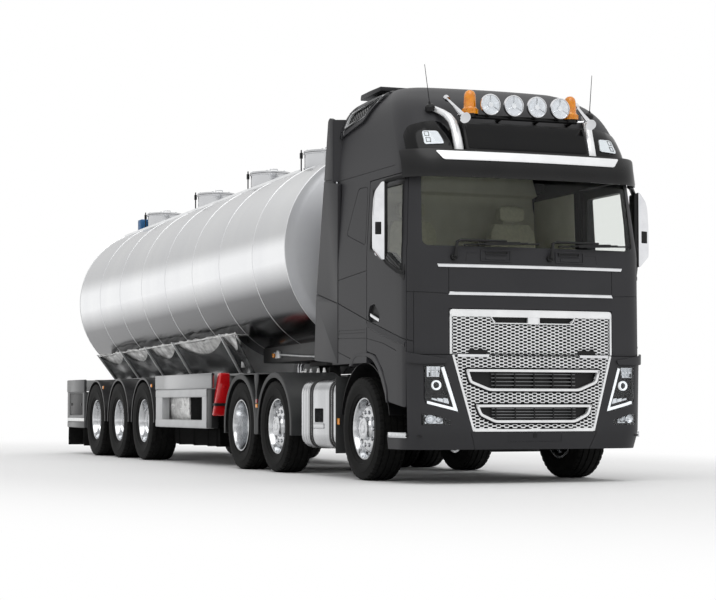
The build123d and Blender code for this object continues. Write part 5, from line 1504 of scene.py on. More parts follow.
legs.box(lx - 0.066, lx + 0.066, ly - 0.066, ly + 0.066, 0.545, 0.575)
legs.box(lx - 0.09, lx + 0.07, ly - 0.075, ly + 0.075, 0.82, 1.0)
legs.prism(((lx - 0.11, 0.322), (lx - 0.095, 0.3), (lx + 0.095, 0.3), (lx + 0.11, 0.322),
            (lx + 0.11, 0.33), (lx - 0.11, 0.33)), "y", ly - 0.11, ly + 0.11)
legs.prism(((lx - 0.055, 0.328), (lx + 0.055, 0.328), (lx + 0.03, 0.372), (lx - 0.03, 0.372)), "y",
           ly - 0.02, ly + 0.02)
for y in (ly - 0.061, ly + 0.061):
    for z in (0.66, 0.74):
        legs.spin(((-0.006, 0.0), (-0.006, 0.012), (0.006, 0.012), (0.006, 0.0)), (lx, y, z), (0, 1, 0),
                  12)
legs.tube([(lx, 0.0, 0.7), (lx, ly - 0.05, 0.7)], 0.016, 14)
legs.tube([(lx + 0.03, ly - 0.05, 1.0), (lx - 0.25, 0.49, 1.05)], 0.018, 10)
make("landingLegs", legs.both(), "trailer", [chassisPaint], bevel=0.002)
sidePanels = Shape()
for a, b in trailer["panels"][1:]:
    section = ((1.205, 0.948), (1.205, 1.122), (1.236, 1.13), (1.243, 1.126), (1.246, 1.118),
               (1.246, 0.952), (1.243, 0.944), (1.236, 0.94))
    sidePanels.prism(section, "x", a, b)
make("sidePanels", sidePanels.both(), "trailer", [panelSteel], bevel=0.002)
print("trailer frame done")

# Running gear: air springs with convolutions, trailing arms, tapered beam axles, brake chambers
gear = Shape()
rubber = Shape()
for wheel in ("trailer1", "trailer2", "trailer3"):
    x, z = wheels[wheel]["x"], wheels[wheel]["r"]
    gear.prism(rounded(square(x, z, 0.07), 0.02), "y", 0.0, 0.88)
    gear.spin(((0.86, 0.05), (0.9, 0.05), (0.92, 0.044), (1.108, 0.042), (1.108, 0.0)), (x, 0, z),
              (0, 1, 0), 24)
    gear.loft([[(px, y, pz) for y, pz in ((0.432, z - 0.112 + low), (0.508, z - 0.112 + low),
                                          (0.508, z - 0.058 + high), (0.432, z - 0.058 + high))]
               for px, low, high in ((x - 0.43, 0.016, -0.004), (x - 0.2, 0.004, 0.0),
                                     (x + 0.1, 0.0, 0.03), (x + 0.47, 0.01, 0.02),
                                     (x + 0.52, 0.016, 0.004))])
    hanger = ((x + 0.44, z - 0.115), (x + 0.54, z - 0.115), (x + 0.545, 0.7), (x + 0.6, 0.93),
              (x + 0.38, 0.93), (x + 0.435, 0.7))
    gear.prism(hanger, "y", 0.43, 0.442).prism(hanger, "y", 0.498, 0.51)
    gear.spin(((-0.012, 0.0), (-0.012, 0.04), (0.092, 0.04), (0.092, 0.0)), (x + 0.49, 0.43, z - 0.085),
              (0, 1, 0), 20)
    gear.spin(((0.0, 0.05), (0.02, 0.078), (0.07, 0.082), (0.075, 0.074), (0.15, 0.07), (0.165, 0.04),
               (0.165, 0.0)), (x + 0.075, 0.64, z + 0.005), (1, 0, 0), 24)
    rubber.spin(((0.0, 0.0), (0.0, 0.095), (0.04, 0.1), (0.07, 0.118), (0.11, 0.13), (0.15, 0.126),
                 (0.175, 0.108), (0.2, 0.126), (0.25, 0.13), (0.3, 0.128), (0.34, 0.118), (0.365, 0.1),
                 (0.38, 0.096), (0.458, 0.096), (0.458, 0.0)),
                (x - 0.33, 0.47, z - 0.06), (0, 0, 1), 32)
make("trailerRunningGear", gear.both(), "trailer", [castIron], ["trailer_axles"],
     bevel=0.002)
make("airSprings", rubber.both(), "trailer", [tyreRubber])


def guardBand(shape, x, z, inner, sweep, y0, y1, flange, legs=(0.0, 0.0), steps=40):
    # A mudguard band with a turned outer flange, over an axle at x, z, with straight legs at its ends
    section = ((inner, y0), (inner, y1 - 0.006), (inner - flange, y1 - 0.006), (inner - flange, y1),
               (inner + 0.006, y1 + 0.001), (inner + 0.014, y1 - 0.005), (inner + 0.014, y0 + 0.004),
               (inner + 0.02, y0))
    turns = [math.radians(sweep[0] + (sweep[1] - sweep[0]) * i / steps) for i in range(steps + 1)]
    rings = [[(x + r * math.cos(a), y, z + r * math.sin(a)) for r, y in section] for a in turns]
    if legs[0]:
        rings.insert(0, [(px, y, pz - legs[0]) for px, y, pz in rings[0]])
    if legs[1]:
        rings.append([(px, y, pz - legs[1]) for px, y, pz in rings[-1]])
    return shape.loft(rings)


fenders = Shape()
for wheel in ("trailer1", "trailer2", "trailer3"):
    x, z = wheels[wheel]["x"], wheels[wheel]["r"]
    guardBand(fenders, x, z, 0.572, (-2, 182), 0.852, 1.236, 0.014)
    fenders.box(x - 0.025, x + 0.025, 0.84, 0.87, 1.1, 1.114)
    for stay in (x - 0.3, x + 0.3):
        fenders.tube([(stay, 0.835, 1.02), (stay, 1.15, 1.02)], 0.014, 10)
make("trailerFenders", fenders.both(), "trailer", [fenderPlastic], ["trailer_guards"])
guardFrame = {"x": (-1.77, 0.49), "z": (0.455, 0.94), "y": (1.135, 1.245),
              "hole": (-1.48, 0.31, 0.556, 0.838)}
frameShape = Shape()
a, b = guardFrame["x"]
low, high = guardFrame["z"]
y0, y1 = guardFrame["y"]
left, right, bottom, top = guardFrame["hole"]
for foot, head in ((low, bottom), (top, high)):
    frameShape.prism(rounded(rect(y0, y1, foot, head), 0.014, 3), "x", a, b)
for rear, front in ((a, left), (right, b)):
    frameShape.prism(rounded(rect(rear, front, y0, y1 - 0.002), 0.01, 3), "z", bottom - 0.02, top + 0.02)
for x in (-1.72, -0.6, 0.4):
    frameShape.box(x - 0.03, x + 0.03, 0.84, y0 + 0.004, 0.88, 0.936)
make("sideGuardFrames", frameShape.both(), "trailer", [frameMetal], bevel=0.002)
guardEnds = Shape().prism(rounded(rect(0.486, 0.698, 0.46, 0.936), 0.02, 3), "y", 1.15, 1.238)
make("sideGuardEnds", guardEnds.both(), "trailer", [darkPanel], bevel=0.004)
# Behind the opening: a foil-wrapped locker with a folded lid line, and bays beside and below it,
# near-black with painted shade
locker = Shape()
locker.loft([[(x, 0.86, 0.48), (x, 1.06 - lean, 0.48), (x, 1.115, 0.64), (x, 1.12, 0.87), (x, 1.1, 0.9),
              (x, 0.86, 0.905)]
             for x, lean in ((-1.64, 0.06), (-1.63, 0.0), (-1.2, 0.0), (-0.66, 0.0), (-0.65, 0.06))])
locker.prism(rect(-1.66, -0.64, 0.69, 0.704), "y", 1.11, 1.128)
for x in (-1.4, -0.85):
    locker.box(x - 0.035, x + 0.035, 1.115, 1.132, 0.73, 0.76)
make("underLockers", locker.both(), "trailer", [crumpledFoil], bevel=0.003)
bay = Shape()
bay.loft([[(x, 0.84, 0.47), (x, 1.08, 0.47), (x, 1.1, 0.5), (x, 1.1, 0.9), (x, 0.84, 0.905)]
          for x in (-0.64, 0.44)])
bay.loft([[(x, 0.62, 0.235), (x, 1.02, 0.235), (x, 1.05, 0.26), (x, 1.05, 0.455), (x, 0.62, 0.455)]
          for x in (-1.52, -1.5, 0.43, 0.45)])
for x in (-1.3, -0.65, -0.05, 0.32):
    bay.box(x - 0.012, x + 0.012, 0.615, 1.056, 0.228, 0.46)
make("underBays", bay.both(), "trailer", [paintedShadeBlack], bevel=0.006)
print("running gear and guards done")

# Rear cabinets: folded side panel up to the rail, recessed dark door, white band, flaps, hook, rear bar
cabinet = {"x": (-6.86, -5.77), "y": (0.88, 1.236), "door": (-6.7, -5.87, 0.59, 0.925)}
a, b = cabinet["x"]
y0, y1 = cabinet["y"]
cabinetShape = Shape()
cabinetShape.prism(((y0, 0.4), (y1 - 0.01, 0.4), (y1, 0.412), (y1, 0.48), (y1 - 0.006, 0.486),
                    (y1, 0.492), (y1, 0.938), (1.228, 0.942), (1.228, 1.118), (1.204, 1.128),
                    (1.2, 0.942), (y0, 0.938)), "x", a, b)
cabinetShape.prism(((1.236, 0.942), (1.245, 0.95), (1.245, 1.118), (1.236, 1.129), (1.215, 1.129),
                    (1.215, 0.942)), "x", a, b + 0.008)
cabinetShape.prism(rounded(rect(a, a + 0.12, 0.44, 0.56), 0.016, 3), "y", 0.0, 0.9)
cabinetShape.box(a + 0.02, a + 0.1, 0.43, 0.51, 0.56, 0.93)
doorCut = Shape().prism(rounded(rect(*cabinet["door"]), 0.02, 3), "y", 1.22, 1.26)
make("rearCabinetBodies", cabinetShape.both(), "trailer", [cabinetMetal], ["rear_cabinets"],
     bevel=0.002, cuts=[doorCut.both()])
doors = Shape()
doors.prism(rounded(rect(-6.692, -5.878, 0.598, 0.917), 0.016, 3), "y", 1.215, 1.233)
for x in (-6.6, -5.97):
    doors.box(x - 0.022, x + 0.022, 1.23, 1.24, 0.735, 0.775)
make("rearCabinetDoors", doors.both(), "trailer", [darkPanel], bevel=0.003)
bandShape = Shape()
bandShape.box(-6.85, -5.775, 1.232, 1.2385, 0.5, 0.545)
bandShape.box(-6.866, -6.858, 0.9, 1.23, 0.5, 0.545)
make("reflectiveBands", bandShape.both(), "trailer", [whiteNylon], bevel=0.001)
flaps = Shape()
flapRings = []
for k in range(9):
    t = k / 8
    x = -5.7925 - 0.01 * math.sin(math.pi * t)
    flapRings.append([(px, py, 0.4 - 0.268 * t) for px, py in rect(x - 0.006, x + 0.006, 0.882, 1.233)])
flaps.loft(flapRings)
flaps.loft([[(x - 1.01, min(y, 1.228), z) for x, y, z in ring] for ring in flapRings])
for y in (0.95, 1.06, 1.17):
    for x in (-5.8, -6.81):
        flaps.tube([(x, y, 0.3), (x, y, 0.398)], 0.007, 8)
make("mudFlaps", flaps.both(), "trailer", [tyreRubber], bevel=0.002)
hooks = Shape()
hooks.tube([(-6.855, 1.14, 0.85), (-6.905, 1.14, 0.852), (-6.945, 1.14, 0.842), (-6.96, 1.14, 0.822),
            (-6.95, 1.14, 0.8)], (0.014, 0.013, 0.012, 0.012, 0.01), 12)
hooks.spin(((0.0, 0.026), (0.01, 0.026), (0.014, 0.016), (0.014, 0.0)), (-6.862, 1.14, 0.85), (-1, 0, 0),
           18)
make("rearHooks", hooks.both(), "trailer", [castIron])
rearLamps = Shape()
for y in (0.955, 1.06, 1.165):
    rearLamps.loft([[(x, y + dy * r, 0.66 + dz * r) for dy, dz in square(0, 0, 0.045)]
                    for x, r in ((-6.856, 1.0), (-6.868, 1.0), (-6.872, 0.88))])
make("tailLamps", rearLamps.both(), "trailer", [redAcrylic], bevel=0.002)
# Red extinguisher boxes, bowed forward at the top
boxShape = Shape()
front = [(0.7, 1.13), (0.8, 1.13), (0.822, 1.118), (0.83, 1.09), (0.828, 1.0), (0.816, 0.88), (0.8, 0.76),
         (0.786, 0.66), (0.772, 0.622), (0.75, 0.61), (0.7, 0.61)]
boxRings = []
for y, inset in ((1.045, 0.01), (1.055, 0.0), (1.222, 0.0), (1.233, 0.008), (1.236, 0.016)):
    middle = (0.765, 0.87)
    lean = 0.14 * (y > 1.2)     # the outer face leans inboard towards the top
    boxRings.append([(middle[0] + (x - middle[0]) * (1 - inset / 0.065), y - lean * max(0.0, z - 0.65),
                      middle[1] + (z - middle[1]) * (1 - inset / 0.26)) for x, z in front])
boxShape.loft(boxRings)
boxShape.box(0.7, 0.836, 1.1, 1.13, 0.948, 0.972)
make("extinguisherBoxes", boxShape.both(), "trailer", [redFibreglass],
     ["extinguisher_boxes"], bevel=0.004)
straps = Shape().box(0.702, 0.812, 1.048, 1.23, 0.73, 0.764).box(0.702, 0.79, 1.09, 1.12, 0.72, 0.774)
make("extinguisherStraps", straps.both(), "trailer", [blackPlastic], bevel=0.004)
print("rear cabinets and red boxes done")

# Small amber and red side markers, each a bevelled lens: place along, height, half width, half height,
# distance out, body it rides, finish
markers = (
    (-2.02, 1.0, 0.03, 0.022, 1.236, "trailer", 0), (-4.62, 1.0, 0.03, 0.022, 1.236, "trailer", 0),
    (0.18, 0.775, 0.034, 0.026, 1.098, "trailer", 0), (4.935, 0.572, 0.04, 0.032, 1.216, "tractor", 0),
    (2.4, 0.732, 0.028, 0.022, 1.236, "tractor", 0), (2.4, 0.785, 0.028, 0.022, 1.236, "tractor", 1))
for rider in ("trailer", "tractor"):
    lensShape = Shape()
    for x, z, w, h, y, owner, paint in markers:
        if owner == rider:
            lensShape.loft([[(x + dx * w * r, y + out, z + dz * h * r) for dx, dz in square(0, 0, 1)]
                            for out, r in ((-0.004, 1.0), (0.003, 1.0), (0.007, 0.8))], paint)
    make(f"sideMarkers_{rider}", lensShape.both(), rider, [amberAcrylic, redAcrylic],
         bevel=0.0015)

# Tractor mudguards: twin arcs with a broad outer flange, a plate and a deck between them, a front flap
guards = Shape()
for wheel in ("drive", "pusher"):
    guardBand(guards, wheels[wheel]["x"], wheels[wheel]["r"], 0.58, (-5, 185), 0.56, 1.24, 0.045,
              (0.045, 0.045), 48)
guards.prism(((2.372, 0.41), (2.418, 0.41), (2.418, 0.9), (2.47, 1.02), (2.47, 1.096), (2.33, 1.096),
              (2.33, 1.02), (2.372, 0.9)), "y", 1.228, 1.24)
guards.prism(rect(1.79, 3.0, 1.087, 1.101), "y", 0.562, 1.236)
for k in range(9):
    guards.box(2.2 + 0.05 * k, 2.215 + 0.05 * k, 0.62, 1.18, 1.099, 1.105)
for x in (1.79, 3.0):
    guards.tube([(x, 0.426, 0.95), (x, 0.47, 0.95), (x, 0.54, 1.075), (x, 1.2, 1.079)], 0.016, 10)
guards.prism(((4.905, 0.25), (4.917, 0.25), (4.917, 1.02), (4.905, 1.03)), "y", 0.48, 1.233)
guards.tube([(4.895, 0.43, 0.81), (4.895, 0.6, 0.81)], 0.018, 10)
make("tractorMudguards", guards.both(), "tractor", [guardPlastic], ["tractor_mudguards"],
     bevel=0.002)
# Trim round the front wheel arch
archOuter = ((5.29, 1.12), (5.37, 1.195), (5.46, 1.243), (5.6, 1.254), (5.77, 1.25), (5.89, 1.236),
             (5.99, 1.212), (6.09, 1.148), (6.175, 1.068), (6.24, 0.985), (6.292, 0.895), (6.3, 0.76))
archInner = ((5.38, 1.13), (5.44, 1.185), (5.52, 1.214), (5.64, 1.214), (5.79, 1.204), (5.89, 1.18),
             (5.98, 1.13), (6.06, 1.068), (6.13, 0.99), (6.19, 0.9), (6.24, 0.83), (6.272, 0.77))
arch = Shape()
archRings = []
for (ox, oz), (ix, iz) in zip(archOuter, archInner):
    ring = [(ox + (ix - ox) * t, y, oz + (iz - oz) * t) for t, y in ((0.15, 1.245), (0.8, 1.243))]
    archRings.append([(ox, 1.13, oz), (ox, 1.236, oz)] + ring + [(ix, 1.232, iz), (ix, 1.13, iz)])
arch.loft(archRings)
make("frontArchTrim", arch.both(), "tractor", [cabPaint])
# Black liner over each front wheel, clear of the tyre at full lock
liner = Shape()
lx, lz = wheels["front"]["x"], wheels["front"]["r"]
liner.loft([[(lx + r * math.cos(a), y, lz + r * math.sin(a))
             for r, y in ((0.645, 0.47), (0.645, 1.19), (0.655, 1.19), (0.655, 0.47))]
            for a in (math.radians(12 + 156 * k / 30) for k in range(31))])
liner.prism(((4.96, 0.64), (5.13, 1.02), (5.3, 1.145), (4.96, 1.145)), "y", 0.47, 0.48)
make("frontWheelLiners", liner.both(), "tractor", [blackPlastic])
print("mudguards done")

# Side tanks: rounded section lofted along, corrugated rear end, black straps, a step with a bright lip
sideTank = {"y": (0.625, 1.235), "z": (0.289, 1.003), "round": 0.15}
y0, y1 = sideTank["y"]
z0, z1 = sideTank["z"]
tankRing = rounded(rect(y0, y1, z0, z1), sideTank["round"], 9)
midY, midZ = (y0 + y1) / 2, (z0 + z1) / 2
# Places along and the ring's inset there: three corrugations at the rear, then plain, with rounded ends
stations = [(3.86, 0.045), (3.864, 0.022), (3.88, 0.008), (3.905, 0.0)]
for fold in (3.945, 4.015, 4.085):
    stations += [(fold, 0.0), (round(fold + 0.005, 3), 0.012), (round(fold + 0.021, 3), 0.012),
                 (round(fold + 0.026, 3), 0.0)]
stations += [(4.3, 0.0), (4.56, 0.0), (4.8, 0.0), (4.855, 0.004), (4.87, 0.014), (4.878, 0.03),
             (4.88, 0.05)]


def ringAt(x, inset):
    wide, tall = (y1 - y0) / 2, (z1 - z0) / 2
    return [(x, midY + (y - midY) * (1 - inset / wide), midZ + (z - midZ) * (1 - inset / tall))
            for y, z in tankRing]


tanks = Shape().loft([ringAt(x, inset) for x, inset in stations])
for x in (4.01, 4.69):
    tanks.box(x, x + 0.06, 0.43, 0.66, 0.76, 0.86)
stepCut = Shape().prism(rounded(rect(4.3, 4.56, 0.56, 0.705), 0.02, 4), "y", 1.12, 1.3)
make("sideTankShells", tanks.both(), "tractor", [tankAluminium], ["side_tanks"],
     cuts=[stepCut.both()], angle=40)
straps = Shape()
for x0, x1 in ((4.15, 4.25), (4.735, 4.845)):
    for gap in (0.0, 0.6):
        w = (x1 - x0) * 0.4
        s = x0 + (x1 - x0) * gap
        straps.loft([ringAt(s, 0.002), ringAt(s + 0.002, -0.004), ringAt(s + w - 0.002, -0.004),
                     ringAt(s + w, 0.002)])
for s in (3.95, 4.02, 4.09):
    straps.loft([ringAt(s + 0.001, 0.013), ringAt(s + 0.002, 0.004), ringAt(s + 0.014, 0.004),
                 ringAt(s + 0.015, 0.013)])
make("sideTankStraps", straps.both(), "tractor", [blackPlastic])
stepWells = Shape()
stepWells.prism(rounded(rect(4.303, 4.557, 0.563, 0.702), 0.018, 4), "y", 1.121, 1.128)
for k in range(4):
    stepWells.box(4.32, 4.54, 1.14 + 0.02 * k, 1.148 + 0.02 * k, 0.56, 0.571)
make("sideTankStepWells", stepWells.both(), "tractor", [blackPlastic], bevel=0.002)
lips = Shape()
lips.loft([[(x, 1.228, 0.488), (x, 1.244, 0.498), (x, 1.246, 0.535), (x, 1.236, 0.56), (x, 1.222, 0.552)]
           for x in (4.285, 4.292, 4.568, 4.575)])
lips.spin(((0.0, 0.062), (0.02, 0.062), (0.03, 0.054), (0.034, 0.0)), (4.64, 1.06, 0.998), (0, 0.25, 1),
          28)
make("sideTankLips", lips.both(), "tractor", [brightSteel], bevel=0.002)
print("side tanks done")

# Tractor frame: the solid's rails, deck and line stand stay visible; ribs and couplings are added to them
deck = Shape()
deck.prism(rounded(rect(4.545, 4.595, -0.415, 0.415), 0.012, 3), "z", 1.019, 1.56)
for k in range(12):
    deck.box(3.6 + 0.08 * k, 3.625 + 0.08 * k, -0.54, 0.54, 1.018, 1.026)
make("deckRibs", deck, "tractor", [chassisPaint], bevel=0.002)
# White couplings of the air and power lines, on the stand, the deck and the mudguard
fittings = Shape()
for y, z in ((-0.26, 1.4), (-0.1, 1.44), (0.1, 1.4), (0.26, 1.44)):
    fittings.spin(((-0.002, 0.03), (0.02, 0.03), (0.024, 0.022), (0.05, 0.02), (0.054, 0.012),
                   (0.054, 0.0)), (4.545, y, z), (-1, 0, 0), 16)
for x, y, z in ((3.78, -0.5, 1.02), (3.92, -0.5, 1.02), (4.1, -0.52, 1.02), (4.22, -0.52, 1.02)):
    fittings.spin(((0.0, 0.022), (0.018, 0.022), (0.022, 0.016), (0.06, 0.016), (0.066, 0.01),
                   (0.066, 0.0)), (x, y, z), (0, 0, 1), 16)
for x, y in ((2.5, -0.68), (2.62, -0.66), (2.96, -0.7), (3.1, -0.68)):
    fittings.spin(((0.0, 0.02), (0.014, 0.02), (0.018, 0.014), (0.045, 0.014), (0.05, 0.008),
                   (0.05, 0.0)), (x, y, 1.101), (0, 0, 1), 14)
make("airCouplings", fittings, "tractor", [whiteNylon, brightSteel], bevel=0.001)
# Fifth wheel: plate with rounded shoulders, grease grooves and a jaw, on ribbed feet
couplingTop = rounded(((1.92, -0.15), (1.96, -0.44), (2.56, -0.45), (2.68, -0.33), (2.68, 0.33),
                       (2.56, 0.45), (1.96, 0.44), (1.92, 0.15), (2.258, 0.03), (2.258, -0.03)), 0.03, 4)
coupling = Shape().prism(couplingTop, "z", 1.19, 1.249)
grooves = [trail([(x, s * y) for x, y in ((2.1, 0.36), (2.36, 0.3), (2.6, 0.2))], 0.012,
                 lambda x, y, out: Vector((x, y, 1.249 + out)), 0.01, 0.006) for s in (-1, 1)]
pinHole = Shape().spin(((1.15, 0.0), (1.15, 0.029), (1.3, 0.029), (1.3, 0.0)), (2.35, 0, 0), (0, 0, 1),
                       32)
make("couplingPlate", coupling, "tractor", [castIron], ["fifth_wheel"], bevel=0.004,
     cuts=grooves + [pinHole, Shape().box(2.2, 2.35, -0.029, 0.029, 1.15, 1.3)])
feet = Shape()
for s in (1, -1):
    for x in (2.165, 2.342, 2.52):
        feet.prism(((s * 0.255, 1.002), (s * 0.415, 1.002), (s * 0.395, 1.189), (s * 0.275, 1.189)), "x",
                   x - 0.012, x + 0.012)
    feet.box(2.15, 2.55, s * 0.25, s * 0.42, 1.001, 1.018)
    feet.tube([(2.17, s * 0.335, 1.15), (2.53, s * 0.335, 1.15)], 0.034, 18)
make("couplingFeet", feet, "tractor", [castIron], bevel=0.002)
# Under the neck: red hose tube, a bracket arm with its lamp, a bright post, twin connectors
neckFit = Shape()
neckFit.tube([(0.56, -0.6, 1.568), (0.9, -0.6, 1.575), (1.3, -0.6, 1.583), (1.76, -0.6, 1.59)], 0.03, 14)
neckFit.spin(((-0.01, 0.03), (0.0, 0.048), (0.06, 0.05), (0.08, 0.036), (0.082, 0.0)),
             (0.56, -0.6, 1.568), (-1, 0, 0), 20)
make("redHoseTube", neckFit.both(), "trailer", [redFibreglass], bevel=0.002)
neckArm = Shape()
neckArm.tube([(1.2, -0.575, 1.345), (1.6, -0.59, 1.33), (2.1, -0.59, 1.305), (2.55, -0.585, 1.29)], 0.012,
             10)
neckArm.prism(((1.16, 1.3), (1.34, 1.3), (1.3, 1.38), (1.22, 1.395)), "y", -0.59, -0.562)
neckArm.box(1.12, 1.16, -0.59, -0.562, 1.33, 1.37)
neckArm.tube([(0.295, -0.7, 1.205), (0.295, -0.7, 1.455)], 0.03, 16)
make("neckArm", neckArm, "trailer", [satinSteel], bevel=0.002)
neckLamp = Shape().loft([[(1.135 + dx * 0.026 * r, -0.59 - out, 1.335 + dz * 0.026 * r)
                          for dx, dz in square(0, 0, 1)]
                         for out, r in ((-0.006, 1.0), (0.012, 1.0), (0.018, 0.8))])
make("neckLamp", neckLamp, "trailer", [amberAcrylic], bevel=0.002)
connectors = Shape()
for x in (2.06, 2.15):
    connectors.tube([(x, -0.6, 1.105), (x, -0.6, 1.17), (x + 0.01, -0.6, 1.2), (x + 0.035, -0.6, 1.215)],
                    0.019, 14)
connectors.tube([(2.2, -0.61, 1.118), (2.34, -0.612, 1.122)], 0.016, 12)
make("brightConnectors", connectors, "tractor", [chromePlate])
# Neck: side webs with a folded foot, gussets, the rubbing plate with its pin
neckShape = Shape()
neckWeb = ((0.655, 1.254), (3.145, 1.254), (3.145, 1.4), (2.95, 1.5), (2.8, 1.516), (0.655, 1.516))
for s in (1, -1):
    neckShape.prism(neckWeb, "y", s * 0.548, s * 0.56)
    for x in (0.95, 1.45, 2.0, 2.5, 2.9):
        neckShape.prism(((s * 0.41, 1.258), (s * 0.548, 1.258), (s * 0.548, 1.44), (s * 0.5, 1.44)), "x",
                        x - 0.005, x + 0.005)
neckShape.prism(rounded(rect(0.655, 3.14, -0.559, 0.559), 0.05, 4), "z", 1.252, 1.264)
make("neckWebs", neckShape, "trailer", [chassisPaint], bevel=0.0015)
print("coupling and neck done")

# Inside the cab: padded seats, bunk, header locker, lining, dashboard, wheel
# Cushion, back and head rest: rear, front, half width, foot, top, lean, how far the pad swells
cushions = ((5.33, 5.9, 0.27, 1.78, 1.955, 0.0, 0.03), (5.235, 5.365, 0.255, 1.9, 2.6, -0.02, 0.03),
            (5.222, 5.325, 0.135, 2.63, 2.795, -0.01, 0.025))
seats = Shape()
for y in (0.56, -0.56):
    for x0, x1, w, z0, z1, lean, puff in cushions:
        rings = []
        for k in range(9):
            t = k / 8
            swell = puff * (1 - (2 * t - 1) ** 6)
            pinch = (1 - swell / puff) * puff
            z = z0 + (z1 - z0) * t
            back, front = x0 + pinch + lean * t, x1 - pinch + lean * t
            crown = x1 - pinch * 0.5 + lean * t
            tuft = 0.018 if z1 - z0 > 0.3 else 0
            rings.append([(back, y - w + pinch * 2, z), (front, y - w + pinch * 2, z),
                          (crown, y - w * 0.45, z), (front - tuft, y, z), (crown, y + w * 0.45, z),
                          (front, y + w - pinch * 2, z), (back, y + w - pinch * 2, z)])
        seats.loft(rings)
    seats.loft([[(5.62 + dx * w, y + dy * w, z) for dx, dy in rect(-1, 1, -0.9, 0.9)]
                for z, w in ((1.4, 0.26), (1.44, 0.25), (1.47, 0.14), (1.74, 0.14), (1.785, 0.24))])
    for post in (y - 0.07, y + 0.07):
        seats.tube([(5.28, post, 2.58), (5.28, post, 2.66)], 0.008, 8)
make("paddedSeats", seats, "tractor", [seatCloth], ["cab_interior"], bevel=0.012,
     angle=40)
dashOutline = ((6.7, 1.765), (6.36, 1.765), (6.335, 1.83), (6.345, 1.985), (6.372, 2.07), (6.42, 2.106),
               (6.56, 2.108), (6.64, 2.07), (6.685, 1.99))
dash = Shape().prism(dashOutline, "y", -1.085, 1.085)
dash.loft([
    [(6.365 + dx, y, z) for dx, z in ((0.0, 2.04), (-0.04, 2.06), (-0.05, 2.125), (-0.02, 2.15),
                                      (0.13, 2.13), (0.15, 2.08))]
    for y in (-0.86, -0.83, -0.3, -0.27)])
dash.prism(((6.5, 1.42), (6.345, 1.42), (6.335, 1.5), (6.345, 1.765), (6.5, 1.765)), "y", -0.45, 0.45)
make("dashboard", dash, "tractor", [darkTrim], bevel=0.012)
vents = Shape()
for y in (-0.98, -0.16, 0.1, 0.36, 0.92):
    for k in range(5):
        vents.box(6.338, 6.347, y - 0.06, y + 0.06, 1.915 + 0.014 * k, 1.921 + 0.014 * k)
    vents.loft([[(x, y + dy * w, 1.944 + dz * h) for dy, dz in square(0, 0, 1)]
                for x, w, h in ((6.35, 0.072, 0.046), (6.341, 0.07, 0.044))])
make("dashboardVents", vents, "tractor", [blackPlastic], bevel=0.001)
hub, way = Vector((6.26, -0.56, 2.08)), Vector((-0.6, 0, 0.8)).normalized()
wheelShape = Shape()
ringSide, ringUp = Vector((0, 1, 0)), way.cross(Vector((0, 1, 0)))
rimRing = [hub + (ringSide * math.cos(a) + ringUp * math.sin(a)) * 0.215
           for a in (2 * math.pi * k / 40 for k in range(41))]
wheelShape.tube(rimRing, 0.016, 12, caps=False)
for a in (0.15, math.pi - 0.15, -math.pi / 2 - 0.25, -math.pi / 2 + 0.25):
    tip = hub + (ringSide * math.cos(a) + ringUp * math.sin(a)) * 0.21
    wheelShape.tube([hub - way * 0.012, hub + (tip - hub) * 0.5 - way * 0.008, tip], (0.02, 0.012, 0.01),
                    10)
wheelShape.spin(((-0.03, 0.0), (-0.03, 0.06), (0.004, 0.066), (0.018, 0.056), (0.024, 0.03),
                 (0.024, 0.0)), hub, way, 28)
wheelShape.tube([hub - way * 0.02, hub - way * 0.24], (0.045, 0.036), 16)
make("steeringWheel", wheelShape, "tractor", [blackPlastic])
lining = Shape()
# Rear wall, swollen between its seams: height, half width, swell, step back above the cab's rear edge
wall = ((1.34, 1.095, 0.0, 0.0), (1.9, 1.095, 0.0, 0.0), (1.98, 1.09, 0.02, 0.0),
        (2.3, 1.085, 0.024, 0.0), (2.36, 1.08, 0.006, 0.0), (2.44, 1.075, 0.022, 0.0),
        (2.76, 1.065, 0.024, 0.0), (2.83, 1.06, 0.0, 0.0), (2.93, 1.05, 0.0, 0.0),
        (2.95, 1.05, -0.02, 0.118), (3.38, 0.93, -0.02, 0.118))
lining.loft([[(4.8 + step, -w, z), (4.83 + bulge + step, -w + 0.02, z), (4.845 + bulge + step, 0.0, z),
              (4.83 + bulge + step, w - 0.02, z), (4.8 + step, w, z)]
             for z, w, bulge, step in wall])
flank = ((4.8, 1.34, 1.095), (5.7, 1.34, 1.095), (5.7, 2.05, 1.092), (5.7, 2.9, 1.068), (4.8, 2.9, 1.068),
         (4.8, 2.05, 1.092))
for s in (1, -1):
    lining.loft([[(x, s * (w + 0.012), z) for x, z, w in flank], [(x, s * w, z) for x, z, w in flank]])
lining.loft([[(4.835, y * r, z), (5.18, y * r, z), (5.18, -y * r, z), (4.835, -y * r, z)]
             for z, y, r in ((1.7, 1.07, 0.99), (1.715, 1.07, 1.0), (1.88, 1.07, 1.0),
                             (1.9, 1.07, 0.985))])
make("cabLining", lining, "tractor", [cabTrim], bevel=0.008, angle=50)
header = Shape().loft([
    [(x, y, z) for x, z in ((6.64, 2.935), (6.56, 2.948), (6.3, 2.985), (6.245, 3.02), (6.225, 3.09),
                            (6.235, 3.185), (6.5, 3.2))]
    for y in (-1.04, -1.02, -0.345, -0.34, 0.34, 0.345, 1.02, 1.04)])
for y in (-0.68, 0.0, 0.68):
    header.box(6.214, 6.232, y - 0.1, y + 0.1, 3.06, 3.08)
make("headerLocker", header, "tractor", [cabTrim], bevel=0.006)
# Ledge that closes the step between the cab's rear wall and the roof's
ledgeShape = Shape().loft([
    [(x, y, z) for x, z in ((4.742, 2.965), (4.742, 2.992), (4.75, 2.999), (4.905, 2.999), (4.905, 2.965))]
    for y in (-1.15, -1.14, 1.14, 1.15)])
make("cabRearLedge", ledgeShape, "tractor", [cabPaint])
print("cab interior done")


